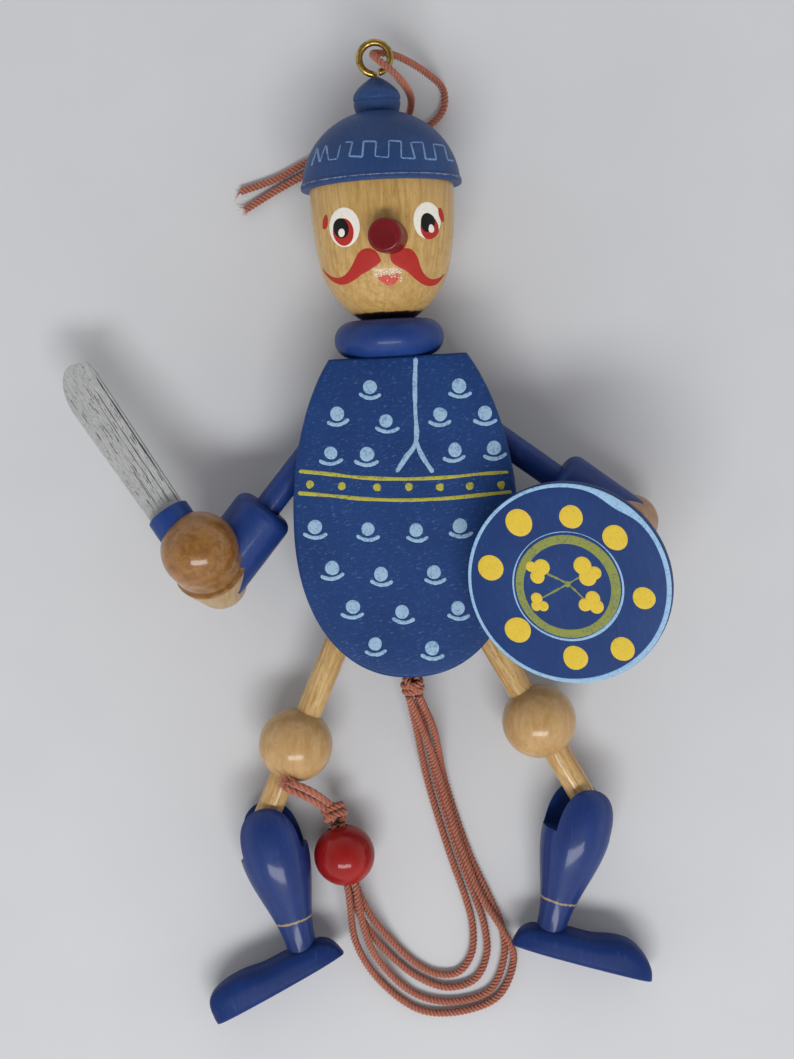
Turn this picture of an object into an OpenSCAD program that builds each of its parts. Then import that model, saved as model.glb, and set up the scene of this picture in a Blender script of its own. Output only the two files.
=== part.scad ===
// Pull string jumping jack: a turned wooden soldier with a sword and a shield.
// The toy lies on its back on a table, which is the plane z = 0, with its head towards +Y.
// Left and right are as seen from above. All sizes are in millimetres.

/* [Body] */
// Greatest width of a body plate
body_w = 59; // [54:0.5:64]
// Width of a body plate along its flat top edge
body_top_w = 36; // [33:0.5:39]
// Height of a body plate
body_h = 84.5; // [82:0.5:90]
// Drop from the top edge to the widest place
belly_drop = 44.5; // [41:0.5:48]
// Thickness of a body plate
plate_t = 5; // [4.5:0.25:6]
// Radius of the softened plate edges
plate_edge = 1.2; // [0.6:0.1:2]
// Free space on each side of a limb between the plates
limb_play = 0.5; // [0.4:0.1:1]
// Diameter of the limb dowels
limb_d = 7; // [6:0.25:7.5]
// Diameter of the nails that the limbs turn on
pin_d = 2; // [1.5:0.1:2.5]

/* [Head] */
// Sideways offset of the head's axis from the body's middle
head_shift = -1.9; // [-3:0.1:1]
// Width of the block between the plates
neck_block_w = 13; // [11:0.5:14]
// Height of the block between the plates
neck_block_h = 10; // [9:0.5:11]
// Diameter of the dowel through the neck
neck_dowel_d = 5; // [4:0.25:6]
// Depth of the neck dowel in the head
neck_dowel_depth = 12; // [8:0.5:16]
// Diameter of the neck ring
neck_ring_d = 29; // [26:0.5:32]
// Height of the neck ring
neck_ring_h = 9.8; // [8:0.2:11]
// Diameter of the head
head_d = 38; // [35:0.5:40]
// Height of the head
head_h = 36; // [33:0.5:39]
// Diameter of the chin
chin_d = 20.4; // [17:0.2:23]
// Diameter of the foot of the chin
chin_foot_d = 15.6; // [13:0.2:17]
// Height of the tapering chin
chin_h = 3.5; // [2:0.25:5]
// Diameter of the nose peg
nose_d = 8.8; // [7:0.2:10]
// Length of nose that stands out of the face
nose_out = 6; // [4:0.25:8]
// Depth of the nose peg in the face
nose_depth = 4; // [3:0.25:6]
// Height of the nose above the chin
nose_up = 20.2; // [18:0.2:24]
// Offset of the nose's root to the right
nose_side = 1.3; // [0:0.1:2]
// Lean of the nose to the left
nose_lean = 13; // [0:1:20]

/* [Hat] */
// Diameter of the hat's lip
hat_d = 42.4; // [41:0.2:45]
// Height of the hat up to its knob
hat_h = 20.2; // [18:0.2:23]
// Height of the lip
hat_lip_h = 1.8; // [1:0.1:3]
// Depth of the recess that takes the top of the head
hat_recess = 1.4; // [0.8:0.1:2]
// Diameter of the knob
knob_d = 12.4; // [11:0.2:14]
// Height of the knob
knob_h = 8.4; // [7:0.2:10]
// Outer diameter of the screw eye
eye_d = 9.9; // [8.5:0.1:11]
// Wire diameter of the screw eye
eye_wire = 1.8; // [1.5:0.1:2]
// Depth of the screw eye's shank in the hat
eye_depth = 13; // [9:0.5:16]

/* [Arms] */
// Distance of a shoulder nail from the body's middle
shoulder_x = 19; // [18:0.25:19.5]
// Drop of the shoulder nails below the top edge
shoulder_drop = 17.5; // [16.5:0.25:19]
// Angle of the left arm out from straight down
left_arm_angle = 40.5; // [38:0.5:45]
// Angle of the right arm out from straight down
right_arm_angle = 52; // [50:0.5:56]
// Distance from the shoulder nail to the middle of the fist
arm_len = 50; // [48:0.5:54]
// Length of arm behind the shoulder nail
arm_tail = 9; // [8.5:0.25:10]
// Distance of the string hole behind the shoulder nail
arm_lever = 6; // [5.5:0.25:6.5]
// Diameter of a sleeve
sleeve_d = 16.6; // [14:0.2:17]
// Distance from the shoulder nail to the top of the sleeve
sleeve_from = 27; // [26.5:0.5:31]
// Radius of the sleeve's rounded top edge
sleeve_edge = 3; // [1:0.25:4]
// Roll of the left fist about its arm
left_fist_roll = 35; // [32:1:39]
// Roll of the right fist about its arm
right_fist_roll = 37; // [34:1:40]
// Lean of the left fist back along its arm
left_fist_lean = 18; // [14:1:20]
// Lean of the right fist back along its arm
right_fist_lean = 12; // [8:1:16]
// Diameter of the ball of a fist
fist_ball_d = 20.4; // [19:0.2:21]
// Diameter of the ring behind the ball
fist_ring_d = 19.8; // [19:0.2:20.4]
// Diameter of the fist's shank at the back
fist_back_d = 14.6; // [13:0.2:16]
// Distance from the arm's axis to the middle of the ball
fist_ball_at = 13; // [12.5:0.25:14]
// Distance from the arm's axis back to where the shank rounds off
fist_back_at = 3.5; // [2:0.25:5]

/* [Sword and shield] */
// Angle from the left arm's line, seen backwards, to the sword
sword_turn = 73.2; // [69:0.2:77]
// Slope of the sword down towards its tip
sword_slope = 12; // [8:1:16]
// Offset of the sword from the middle of the ball
sword_offset = 1.4; // [0.6:0.1:2.4]
// Diameter of the hilt
hilt_d = 11.6; // [11:0.2:12.4]
// Distance from the middle of the ball to the end of the hilt
hilt_end = 13.2; // [12.5:0.2:15]
// Length of the hilt
hilt_len = 8; // [7:0.2:9]
// Length of the blade outside the hilt
blade_len = 47.7; // [44:0.1:50]
// Width of the blade at the hilt
blade_w = 9.6; // [8.5:0.2:10.4]
// Width of the blade near its tip
blade_tip_w = 11.2; // [10:0.2:13]
// Thickness of the blade
blade_t = 2.6; // [2:0.1:3.5]
// Depth of the blade in the hilt
blade_depth = 5; // [3:0.25:6]
// Diameter of the shield
shield_d = 52.9; // [50:0.1:55]
// Thickness of the shield
shield_t = 2.6; // [2.2:0.1:3]
// Distance from the arm's axis to the front of the shield
shield_at = 35.2; // [35:0.1:38]
// Turn of the shield on its peg towards the fist's side
shield_ease = 16; // [13:1:18]
// Turn of the shield on its peg along the arm
shield_lean = 3; // [0:1:5]
// Diameter of the peg behind the shield
peg_d = 6; // [5:0.25:7]
// Depth of that peg in the ball
peg_depth = 8; // [5:0.5:9]
// Distance from the shield's front to the end of that peg
peg_stop = 1.7; // [1.6:0.05:1.9]

/* [Legs] */
// Distance of a hip nail from the body's middle
hip_x = 15.5; // [15:0.25:17]
// Drop of the hip nails below the top edge
hip_drop = 65.7; // [64:0.25:67]
// Angle of the left thigh out from straight down
left_thigh_angle = 25.2; // [24:0.2:28]
// Angle of the right thigh out from straight down
right_thigh_angle = 27.4; // [26:0.2:30]
// Bend of the left knee inwards
left_knee_bend = 38; // [32:0.5:40]
// Bend of the right knee inwards
right_knee_bend = 44.6; // [40:0.2:46]
// Distance from the hip nail to the knee nail
thigh_len = 62.4; // [61:0.2:65]
// Length of leg behind the hip nail
leg_tail = 12; // [11.5:0.25:12.5]
// Distance of the string hole behind the hip nail
leg_lever = 9; // [8:0.25:9.25]
// Length of dowel past the knee nail
thigh_end = 4; // [3:0.25:5]
// Diameter of the knee balls
ball_d = 19.8; // [17:0.2:20.4]
// Distance from the hip nail to the left knee ball
left_ball_at = 40.4; // [38:0.2:42]
// Distance from the hip nail to the right knee ball
right_ball_at = 37.8; // [36:0.2:42]
// Greatest diameter of a calf
calf_d = 18.5; // [17.5:0.1:18.6]
// Length of a calf
calf_len = 42; // [40:0.5:46]
// Distance from the top of a calf to its nail
calf_pin_drop = 5; // [4.5:0.1:5.5]
// Depth of the slot in the top of a calf
calf_slot_depth = 14; // [13:0.25:16]
// Free space on each side of the dowel in that slot
slot_play = 1.3; // [1.2:0.05:1.5]
// Diameter of an ankle
ankle_d = 8; // [7:0.2:9]
// Diameter of the ankle's tenon
tenon_d = 4.6; // [3.5:0.1:5.5]
// Depth of that tenon in the shoe
tenon_depth = 3.6; // [2.5:0.1:4]
// Length of a shoe behind the ankle
heel_len = 9; // [8.5:0.25:10]
// Length of a shoe ahead of the ankle
toe_len = 30; // [27:0.5:33]
// Width of a shoe
shoe_w = 12; // [11:0.2:12.2]
// Height of a shoe at the ankle
shoe_h = 7.6; // [7:0.1:8.5]
// Height of a shoe at the bulge of the toes
toe_h = 9.6; // [8:0.1:11]
// Downward pitch of the left shoe
left_pitch = 14; // [8:1:16]
// Downward pitch of the right shoe
right_pitch = 1; // [0:1:4]

/* [Pull cord] */
// Diameter of the cord
cord_d = 2.1; // [1.6:0.1:2.1]
// Diameter of the bead
bead_d = 16.4; // [14:0.2:16.4]
// Diameter of the bore of the bead
bead_bore = 5.6; // [5.2:0.1:7]
// Diameter of the knot under the body
knot_d = 6.4; // [5.6:0.2:7]

/* [Hidden] */
$fn = 64;

LEFT = -1;
RIGHT = 1;
// Glue line round a dowel in its hole, and the running fit round a nail
glue = 0.02;
run_fit = 0.06;
// Distance that a cut runs past the face it opens
past = 1;
BLUE = [0.13, 0.25, 0.52];
WOOD = [0.80, 0.66, 0.44];
CORD = [0.75, 0.42, 0.32];
STEEL = [0.62, 0.62, 0.6];

// Depths of the body, measured from the plane that the limbs swing in
plate_in = limb_d / 2 + limb_play;
plate_out = plate_in + plate_t;
pin_depth = plate_t - 1.5;
pin_sink = 0.5;

// Heights of the head's pieces above the body's top edge
chin_y = neck_ring_h;
head_top = chin_y + head_h;
hat_y = head_top - hat_recess;
knob_y = hat_y + hat_h;
eye_r = (eye_d - eye_wire) / 2;
eye_y = knob_y + knob_h + eye_d / 2;

// The point of the body that lies over the origin
middle = [-10.7, -47.2];

function rise(side, angle) = [side * sin(angle), -cos(angle)];
function hip(side) = [side * hip_x, -hip_drop];
function thigh_angle(side) = side == LEFT ? left_thigh_angle : right_thigh_angle;
function calf_angle(side) = thigh_angle(side) - (side == LEFT ? left_knee_bend : right_knee_bend);
function knee(side) = hip(side) + thigh_len * rise(side, thigh_angle(side));
function arm_angle(side) = side == LEFT ? left_arm_angle : right_arm_angle;
function ball_at(side) = side == LEFT ? left_ball_at : right_ball_at;
function pitch(side) = side == LEFT ? left_pitch : right_pitch;
function fist_roll(side) = side == LEFT ? left_fist_roll : right_fist_roll;
function fist_lean(side) = side == LEFT ? left_fist_lean : right_fist_lean;

// The hat's lip and the left calf touch the table, so the toy slopes down to its feet
calf_low = knee(LEFT) + (calf_slot_depth - calf_pin_drop) * rise(LEFT, calf_angle(LEFT));
tilt = atan((hat_d - calf_d) / 2 / (hat_y + hat_lip_h / 2 - calf_low[1]));
rest_z = hat_d / 2 * cos(tilt) - hat_y * sin(tilt);

// Cord routes on and over the table, chosen by hand
STRAND_1 = [
    [9, -43.3, 10.8], [10.6, -52.8, 6.6], [12.6, -65.8, 1.6], [15.4, -78, 1.1], [18.6, -90, 1.1], [21.6, -100, 1.1],
    [23.2, -108, 1.1], [22.4, -116, 1.1], [18.6, -120.6, 1.1], [13, -120.8, 1.1], [7, -117.4, 1.1], [0.6, -110.6, 2],
    [-4.6, -103, 4.6], [-8, -93.8, 7.05], [-11, -77, 7.05]
];
STRAND_2 = [
    [11.4, -43.3, 10.8], [13, -52.8, 6.6], [14.9, -65.8, 1.6], [17.8, -78, 1.1], [21, -90, 1.1], [24.2, -100, 1.1],
    [26.4, -108, 1.1], [26.6, -116.4, 1.1], [23, -122.8, 1.1], [15.6, -124.6, 1.1], [7.6, -121.4, 1.1],
    [-0.8, -113.6, 2], [-6.6, -104.4, 4.8], [-10.2, -94.2, 7.05], [-13.2, -77.4, 7.05]
];
STRAND_3 = [
    [11.8, -43.3, 13.3], [15.2, -52.8, 8.7], [17.2, -65.8, 1.9], [20.2, -78, 1.1], [23.9, -90, 1.1], [28, -100, 1.1],
    [31, -108, 1.1], [31.4, -117, 1.1], [27, -126, 1.1], [16, -128.6, 1.1], [6, -125.6, 1.1], [-2.8, -116, 3.4],
    [-6.4, -106, 7.4], [-8, -93.8, 9.35], [-11, -77, 9.35]
];
STRAND_4 = [
    [9.1, -43.3, 13.3], [12.3, -52.8, 9.4], [16.1, -65.8, 4], [19, -78, 3.05], [22.45, -90, 2.85], [26, -100, 2.8],
    [30.6, -108, 3.35], [33.1, -113, 3], [33.9, -118.6, 1.1], [29.4, -127.6, 1.1], [20, -131.2, 1.1], [8.2, -130.6, 1.1], [-2.4, -122.4, 1.4],
    [-8.7, -110.6, 5], [-10.2, -94.2, 9.35], [-13.2, -77.4, 9.35]
];
BEAD_AT = [-10.6, -85.6, 8.2];
BEAD_TURN = 10;
BEAD_KNOT_AT = [-12.7, -74, 8.4];
// Diameter and length of the smaller knots
BEAD_KNOT = [7, 6.4];
HANGING_KNOT = [6, 6.6];
BEAD_TAIL_1 = [[-14.8, -73.2, 9.2], [-20.2, -69, 14.6], [-25.8, -65.3, 16.8]];
BEAD_TAIL_2 = [[-12.6, -71.4, 9.4], [-17.4, -66.6, 15], [-23.2, -63.4, 18.6]];
HANGING_LOOP = [
    [5.2, 106.2, 2.4], [14.2, 109.2, 1.3], [22.4, 111.4, 1.1], [26.8, 115.6, 1.1], [27.2, 120.6, 2.4], [22.6, 124.2, 8.6],
    [13.6, 126.9, 19.2], [9.6, 126.8, 22], [8.4, 125.6, 25.2], [10.4, 123, 27.6], [14.6, 119.4, 25.2],
    [18, 116, 13], [15.6, 112, 4.8], [7.2, 108.8, 4.2]
];
HANGING_KNOT_AT = [2.2, 106.6, 3.4];
HANGING_TAIL_1 = [[-0.2, 106.2, 3.2], [-8.8, 104.4, 1.3], [-19.8, 99.2, 1.1], [-29.8, 96.2, 1.1]];
HANGING_TAIL_2 = [[-0.4, 103.8, 2.6], [-8.8, 101.2, 1.3], [-18.8, 96.6, 1.1], [-28.8, 91.2, 1.1]];

// Limb strings in the body's own frame, from past the lever's hole to the knot
STRING_OVERHANG = 5.6;
STRING_SPREAD = 1.15;
KNOT_AT = [-0.5, -88, 0];
ARM_STRING_BENDS = [[7.6, -36, 0.4], [1.6, -74, 1.15]];
LEG_STRING_BENDS = [[6.4, -71, -0.7]];
STOPPER_D = 4;

// Shared shapes

module lying() translate([-middle[0], -middle[1], rest_z]) rotate([tilt, 0, 0]) children();

module upright_axis() rotate([-90, 0, 0]) children();

module limb_axis() rotate([90, 0, 0]) children();

module on_head_axis() lying() translate([head_shift, 0, 0]) upright_axis() children();

module arm_frame(side)
    lying() translate([side * shoulder_x, -shoulder_drop, 0]) rotate(side * arm_angle(side)) children();

module fist_frame(side)
    translate([0, -arm_len, 0]) rotate([-fist_lean(side), -fist_roll(side), 0]) children();

module sword_frame()
    fist_frame(LEFT) translate([0, 0, fist_ball_at]) rotate([fist_lean(LEFT), 0, 0]) rotate([0, fist_roll(LEFT), 0])
        rotate([-sword_slope, 0, sword_turn]) translate([-sword_offset, 0, 0]) children();

module thigh_frame(side)
    lying() translate(hip(side)) rotate(side * thigh_angle(side)) children();

module calf_frame(side)
    lying() translate(knee(side)) rotate(side * calf_angle(side)) children();

module shoe_frame(side)
    calf_frame(side) translate([0, calf_pin_drop - calf_len, 0]) rotate(-side * pitch(side)) mirror([side == LEFT ? 1 : 0, 0, 0])
        children();

// A nail's hole, through the limb plane
module nail_hole(d) cylinder(d = d, h = 2 * plate_out + 2 * past, center = true);

function unit(v) = v / norm(v);

// Points of a closed outline moved inwards by e
function inset(pts, e) = let (n = len(pts)) [
    for (i = [0:n - 1])
        let (
            before = unit(pts[i] - pts[(i + n - 1) % n]),
            after = unit(pts[(i + 1) % n] - pts[i]),
            along = unit(before + after)
        )
        pts[i] + e * [-along[1], along[0]]
];

// A solid through rings of equally many points, each anticlockwise seen from the last ring's side
module loft(rings) {
    n = len(rings[0]);
    last = (len(rings) - 1) * n;
    polyhedron(
        points = [for (ring = rings) each ring],
        faces = concat(
            [[for (i = [0:n - 1]) i]],
            [[for (i = [n - 1:-1:0]) last + i]],
            [for (k = [0:len(rings) - 2], i = [0:n - 1])
                [k * n + i, (k + 1) * n + i, (k + 1) * n + (i + 1) % n, k * n + (i + 1) % n]]
        )
    );
}

// A round cord along a route, on a frame carried from ring to ring without twist
CORD_SIDES = 8;
FIRST_SIDE = [0.31, 0.17, 0.93];
function heading(route, i) =
    unit(route[min(i + 1, len(route) - 1)] - route[max(i - 1, 0)]);
function square_to(v, t) = unit(v - (v * t) * t);
function carried(route, i) = square_to(i == 0 ? FIRST_SIDE : carried(route, i - 1), heading(route, i));
// The first rings can have radii of their own
module cord(route, first_radii = [])
    loft([
        for (i = [0:len(route) - 1])
            let (
                u = carried(route, i),
                v = cross(heading(route, i), u),
                r = i < len(first_radii) ? first_radii[i] : cord_d / 2
            )
            [for (k = [0:CORD_SIDES - 1])
                let (a = 360 * k / CORD_SIDES)
                route[i] + r * (cos(a) * u + sin(a) * v)]
    ]);

// A tied knot: a short fat spindle along its axis
module knot(d, length)
    rotate_extrude() polygon([
        for (a = [0:15:180]) [d / 2 * pow(sin(a), 0.7), -length / 2 * cos(a)]
    ]);

// Body

BELLY_STEPS = 12;
SEAT_STEPS = 14;
SEAT_FULLNESS = 2 / 2.2;
function body_outline() = let (
    half = body_w / 2,
    crown = belly_drop / sqrt(1 - pow(body_top_w / body_w, 2)),
    seat = body_h - belly_drop,
    top_angle = acos(body_top_w / body_w),
    right = concat(
        [for (i = [0:SEAT_STEPS])
            let (a = 90 * (1 - i / SEAT_STEPS))
            [half * pow(cos(a), SEAT_FULLNESS), -belly_drop - seat * pow(sin(a), SEAT_FULLNESS)]],
        [for (i = [1:BELLY_STEPS])
            let (a = top_angle * i / BELLY_STEPS)
            [half * cos(a), -belly_drop + crown * sin(a)]]
    ),
    left = [for (i = [len(right) - 1:-1:1]) [-right[i][0], right[i][1]]]
) concat(right, left);

EDGE_STEPS = 3;
module body_plate() {
    ring = body_outline();
    angles = [for (i = [0:EDGE_STEPS]) 90 * i / EDGE_STEPS];
    levels = concat(
        [for (a = angles) [plate_edge * (1 - sin(a)), plate_edge * (1 - cos(a))]],
        [for (i = [EDGE_STEPS:-1:0])
            let (a = angles[i]) [plate_edge * (1 - sin(a)), plate_t - plate_edge * (1 - cos(a))]]
    );
    loft([for (l = levels) [for (p = inset(ring, l[0])) [p[0], p[1], l[1]]]]);
}

module at_pins(x, drop) for (side = [LEFT, RIGHT]) translate([side * x, -drop, 0]) children();

module body_front() color(BLUE) lying() difference() {
    translate([0, 0, plate_in]) body_plate();
    at_pins(shoulder_x, shoulder_drop) cylinder(d = pin_d, h = plate_in + pin_depth);
    at_pins(hip_x, hip_drop) cylinder(d = pin_d, h = plate_in + pin_depth);
}

module body_back() color(BLUE) lying() difference() {
    translate([0, 0, -plate_out]) body_plate();
    at_pins(shoulder_x, shoulder_drop) nail_hole(pin_d);
    at_pins(hip_x, hip_drop) nail_hole(pin_d);
}

module body_pins(x, drop) color(STEEL) lying() at_pins(x, drop)
    translate([0, 0, -plate_out + pin_sink])
        cylinder(d = pin_d, h = plate_out - pin_sink + plate_in + pin_depth);

module shoulder_pins() body_pins(shoulder_x, shoulder_drop);

module hip_pins() body_pins(hip_x, hip_drop);

module neck_block() color(WOOD) lying() difference() {
    translate([head_shift - neck_block_w / 2, -neck_block_h, -plate_in])
        cube([neck_block_w, neck_block_h, 2 * plate_in]);
    translate([head_shift, -neck_dowel_in(), 0]) upright_axis()
        cylinder(d = neck_dowel_d + 2 * glue, h = neck_block_h);
}

// Head

function neck_dowel_in() = neck_block_h - 2;

module neck_dowel() color(WOOD) on_head_axis() translate([0, 0, -neck_dowel_in()])
    cylinder(d = neck_dowel_d, h = neck_dowel_in() + chin_y + neck_dowel_depth);

module neck_ring() color(BLUE) on_head_axis() {
    round = neck_ring_h / 2;
    rotate_extrude() difference() {
        union() {
            square([neck_ring_d / 2 - round, neck_ring_h]);
            translate([neck_ring_d / 2 - round, round]) circle(r = round);
        }
        translate([0, -past]) square([neck_dowel_d / 2 + glue, neck_ring_h + 2 * past]);
    }
}

// The head is a cup: above a tapering chin its wall swells out along a superellipse
HEAD_POWER = 2.2;
HEAD_STEPS = 16;
function head_r(up) = chin_d / 2
    + (head_d - chin_d) / 2 * pow(1 - pow((head_h - up) / (head_h - chin_h), HEAD_POWER), 1 / HEAD_POWER);

// Rings lie closer together where the wall turns in
function head_level(i) = chin_h + (head_h - chin_h) * pow(i / HEAD_STEPS, 2);

module head() color(WOOD) difference() {
    on_head_axis() difference() {
        translate([0, 0, chin_y]) rotate_extrude() polygon(concat(
            [[0, 0], [chin_foot_d / 2, 0]],
            [for (i = [0:HEAD_STEPS]) [head_r(head_level(i)), head_level(i)]],
            [[0, head_h]]
        ));
        translate([0, 0, -past])
            cylinder(d = neck_dowel_d + 2 * glue, h = past + chin_y + neck_dowel_depth + glue);
    }
    nose_frame() translate([0, 0, -nose_depth]) cylinder(d = nose_d + 2 * glue, h = head_d);
}

module nose_frame()
    lying() translate([head_shift + nose_side, chin_y + nose_up, head_r(nose_up)]) rotate([0, -nose_lean, 0]) children();

NOSE_EDGE = 1;
module nose() color([0.62, 0.09, 0.09]) nose_frame() translate([0, 0, -nose_depth])
    rotate_extrude() {
        square([nose_d / 2, nose_depth + nose_out - NOSE_EDGE]);
        square([nose_d / 2 - NOSE_EDGE, nose_depth + nose_out]);
        translate([nose_d / 2 - NOSE_EDGE, nose_depth + nose_out - NOSE_EDGE]) circle(r = NOSE_EDGE);
    }

// Hat

HAT_STEPS = 14;
LIP_EDGE = 0.4;
dome_r = hat_d / 2 - 0.3;
function dome(a) = [dome_r * cos(a), hat_h * sin(a)];
// The knob stands on a collar and narrows to a point: shares of its height and of its radius
KNOB_FOOT = 0.9;
KNOB_STATIONS = [
    [0.1, 0.95], [0.22, 0.985], [0.3, 0.985], [0.335, 0.95], [0.37, 0.99], [0.46, 1], [0.56, 0.95], [0.7, 0.79],
    [0.85, 0.54], [0.95, 0.33], [1, 0.21]
];
module hat() color([0.2, 0.3, 0.52]) on_head_axis() translate([0, 0, hat_y]) {
    knob_r = knob_d / 2;
    foot_angle = acos(KNOB_FOOT * knob_r / dome_r);
    lip_angle = asin(hat_lip_h / hat_h);
    knob_base = dome(foot_angle)[1];
    knob_top = hat_h + knob_h;
    difference() {
        rotate_extrude() polygon(concat(
            [[0, hat_recess], [head_d / 2 + glue, hat_recess], [head_d / 2 + glue, 0], [hat_d / 2 - LIP_EDGE, 0]],
            [[hat_d / 2, LIP_EDGE], [hat_d / 2, hat_lip_h - LIP_EDGE]],
            [for (i = [0:HAT_STEPS]) dome(lip_angle + (foot_angle - lip_angle) * i / HAT_STEPS)],
            [for (k = KNOB_STATIONS) [knob_r * k[1], knob_base + (knob_top - knob_base) * k[0]]],
            [[0, knob_top]]
        ));
        translate([0, 0, knob_top - eye_depth]) cylinder(d = eye_wire + 2 * glue, h = eye_depth + past);
    }
}

// The wire of the screw eye is bent round until its end nearly meets the shank
EYE_OPEN = 24;
module screw_eye() color([0.62, 0.5, 0.24]) lying() translate([head_shift, eye_y, 0]) {
    rotate(-90 + EYE_OPEN) rotate_extrude(angle = 360 - EYE_OPEN) translate([eye_r, 0]) circle(d = eye_wire);
    translate([0, -eye_r, 0]) limb_axis()
        cylinder(d = eye_wire, h = eye_depth + eye_d / 2 - eye_r);
}

// Arms

module upper_arm(side) color(BLUE) arm_frame(side) difference() {
    translate([0, arm_tail, 0]) limb_axis() cylinder(d = limb_d, h = arm_tail + arm_len);
    nail_hole(pin_d + 2 * run_fit);
    translate([0, arm_lever, 0]) string_hole();
}

STRING_PLAY = 0.15;
module string_hole() rotate([0, 90, 0])
    cylinder(d = cord_d + 2 * STRING_PLAY, h = limb_d + 2 * past, center = true);

// The fist is turned like an acorn: a ball, a groove, a ring and a tapering shank with a round end
FIST_STEPS = 10;
fist_ring_at = 4.6;
fist_ring_w = 1.6;
fist_groove = 0.9;
module fist_turning() {
    ball_r = fist_ball_d / 2;
    back_r = fist_back_d / 2;
    shank_r = fist_ring_d / 2 - 0.4;
    neck = fist_ring_at + fist_ring_w / 2;
    ball_back = neck + fist_groove - fist_ball_at;
    ball_angle = asin(ball_back / ball_r);
    rotate_extrude() polygon(concat(
        [for (i = [0:FIST_STEPS]) let (a = -90 + 78 * i / FIST_STEPS)
            [back_r * cos(a), -fist_back_at + back_r * sin(a)]],
        [[shank_r, fist_ring_at - fist_ring_w / 2 - 0.4]],
        [[shank_r, fist_ring_at - fist_ring_w / 2], [shank_r + 0.4, fist_ring_at - fist_ring_w / 4]],
        [[shank_r + 0.4, fist_ring_at + fist_ring_w / 4], [shank_r, neck], [ball_r * cos(ball_angle) - 0.6, neck]],
        [[ball_r * cos(ball_angle) - 0.6, neck + fist_groove]],
        [for (i = [0:FIST_STEPS]) let (a = ball_angle + (90 - ball_angle) * i / FIST_STEPS)
            [ball_r * cos(a), fist_ball_at + ball_r * sin(a)]]
    ));
}

module fist(side) color(WOOD) arm_frame(side) difference() {
    fist_frame(side) fist_turning();
    limb_axis() cylinder(d = limb_d + 2 * glue, h = arm_len + glue);
    if (side == LEFT)
        sword_frame() translate([0, hilt_end, 0]) limb_axis() cylinder(d = hilt_d + 2 * glue, h = hilt_len);
    else
        fist_frame(side) translate([0, 0, peg_from()]) cylinder(d = peg_d + 2 * glue, h = shield_at);
}

module sleeve(side) color(BLUE) arm_frame(side) difference() {
    limb_axis() rotate_extrude() difference() {
        union() {
            translate([0, sleeve_from + sleeve_edge]) square([sleeve_d / 2, arm_len - sleeve_from - sleeve_edge]);
            translate([0, sleeve_from]) square([sleeve_d / 2 - sleeve_edge, arm_len - sleeve_from]);
            translate([sleeve_d / 2 - sleeve_edge, sleeve_from + sleeve_edge]) circle(r = sleeve_edge);
        }
        translate([0, sleeve_from - past]) square([limb_d / 2 + glue, arm_len]);
    }
    fist_frame(side) fist_turning();
}

// Sword and shield

module sword_hilt() color(BLUE) arm_frame(LEFT) sword_frame() difference() {
    translate([0, hilt_end, 0]) limb_axis() cylinder(d = hilt_d, h = hilt_len);
    translate([-blade_w / 2 - glue, hilt_end - blade_depth - glue, -blade_t / 2 - glue])
        cube([blade_w + 2 * glue, blade_depth + past, blade_t + 2 * glue]);
}

// The blade widens to a clipped tip that is round on its outer side
TIP_STEPS = 8;
module sword_blade() color([0.65, 0.65, 0.64]) arm_frame(LEFT) sword_frame()
    translate([0, hilt_end, -blade_t / 2]) linear_extrude(blade_t) {
        wide = blade_tip_w / 2;
        clip = 12;
        shoulder = 5;
        polygon(concat(
            [[-blade_w / 2, -blade_depth], [blade_w / 2, -blade_depth], [blade_w / 2, 0]],
            [[wide, blade_len - shoulder], [wide - 0.5, blade_len - shoulder / 3]],
            [for (i = [0:TIP_STEPS]) let (a = 72 + 108 * i / TIP_STEPS)
                [0.6 + (wide + 0.6) * cos(a), blade_len - clip + clip * sin(a)]],
            [[-blade_w / 2, 0]]
        ));
    }

function peg_from() = fist_ball_at + fist_ball_d / 2 - peg_depth;

module shield_peg() color(WOOD) arm_frame(RIGHT) fist_frame(RIGHT) translate([0, 0, peg_from()])
    cylinder(d = peg_d, h = shield_at - peg_stop - peg_from());

SHIELD_EDGE = 0.6;
module shield() color(BLUE) arm_frame(RIGHT) fist_frame(RIGHT) difference() {
    translate([0, 0, shield_at]) rotate([shield_lean, shield_ease, 0]) translate([0, 0, -shield_t]) rotate_extrude() {
        square([shield_d / 2 - SHIELD_EDGE, shield_t]);
        translate([0, SHIELD_EDGE]) square([shield_d / 2, shield_t - 2 * SHIELD_EDGE]);
        for (level = [SHIELD_EDGE, shield_t - SHIELD_EDGE])
            translate([shield_d / 2 - SHIELD_EDGE, level]) circle(r = SHIELD_EDGE);
    }
    cylinder(d = peg_d + 2 * glue, h = shield_at - peg_stop + glue);
}

// Legs

module thigh(side) color(WOOD) thigh_frame(side) difference() {
    translate([0, leg_tail, 0]) limb_axis() cylinder(d = limb_d, h = leg_tail + thigh_len + thigh_end);
    nail_hole(pin_d + 2 * run_fit);
    translate([0, leg_lever, 0]) string_hole();
    translate([0, -thigh_len, 0]) nail_hole(pin_d + 2 * run_fit);
}

module knee_ball(side) color(WOOD) thigh_frame(side) translate([0, -ball_at(side), 0]) difference() {
    sphere(d = ball_d);
    limb_axis() cylinder(d = limb_d + 2 * glue, h = ball_d + 2 * past, center = true);
}

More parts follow.
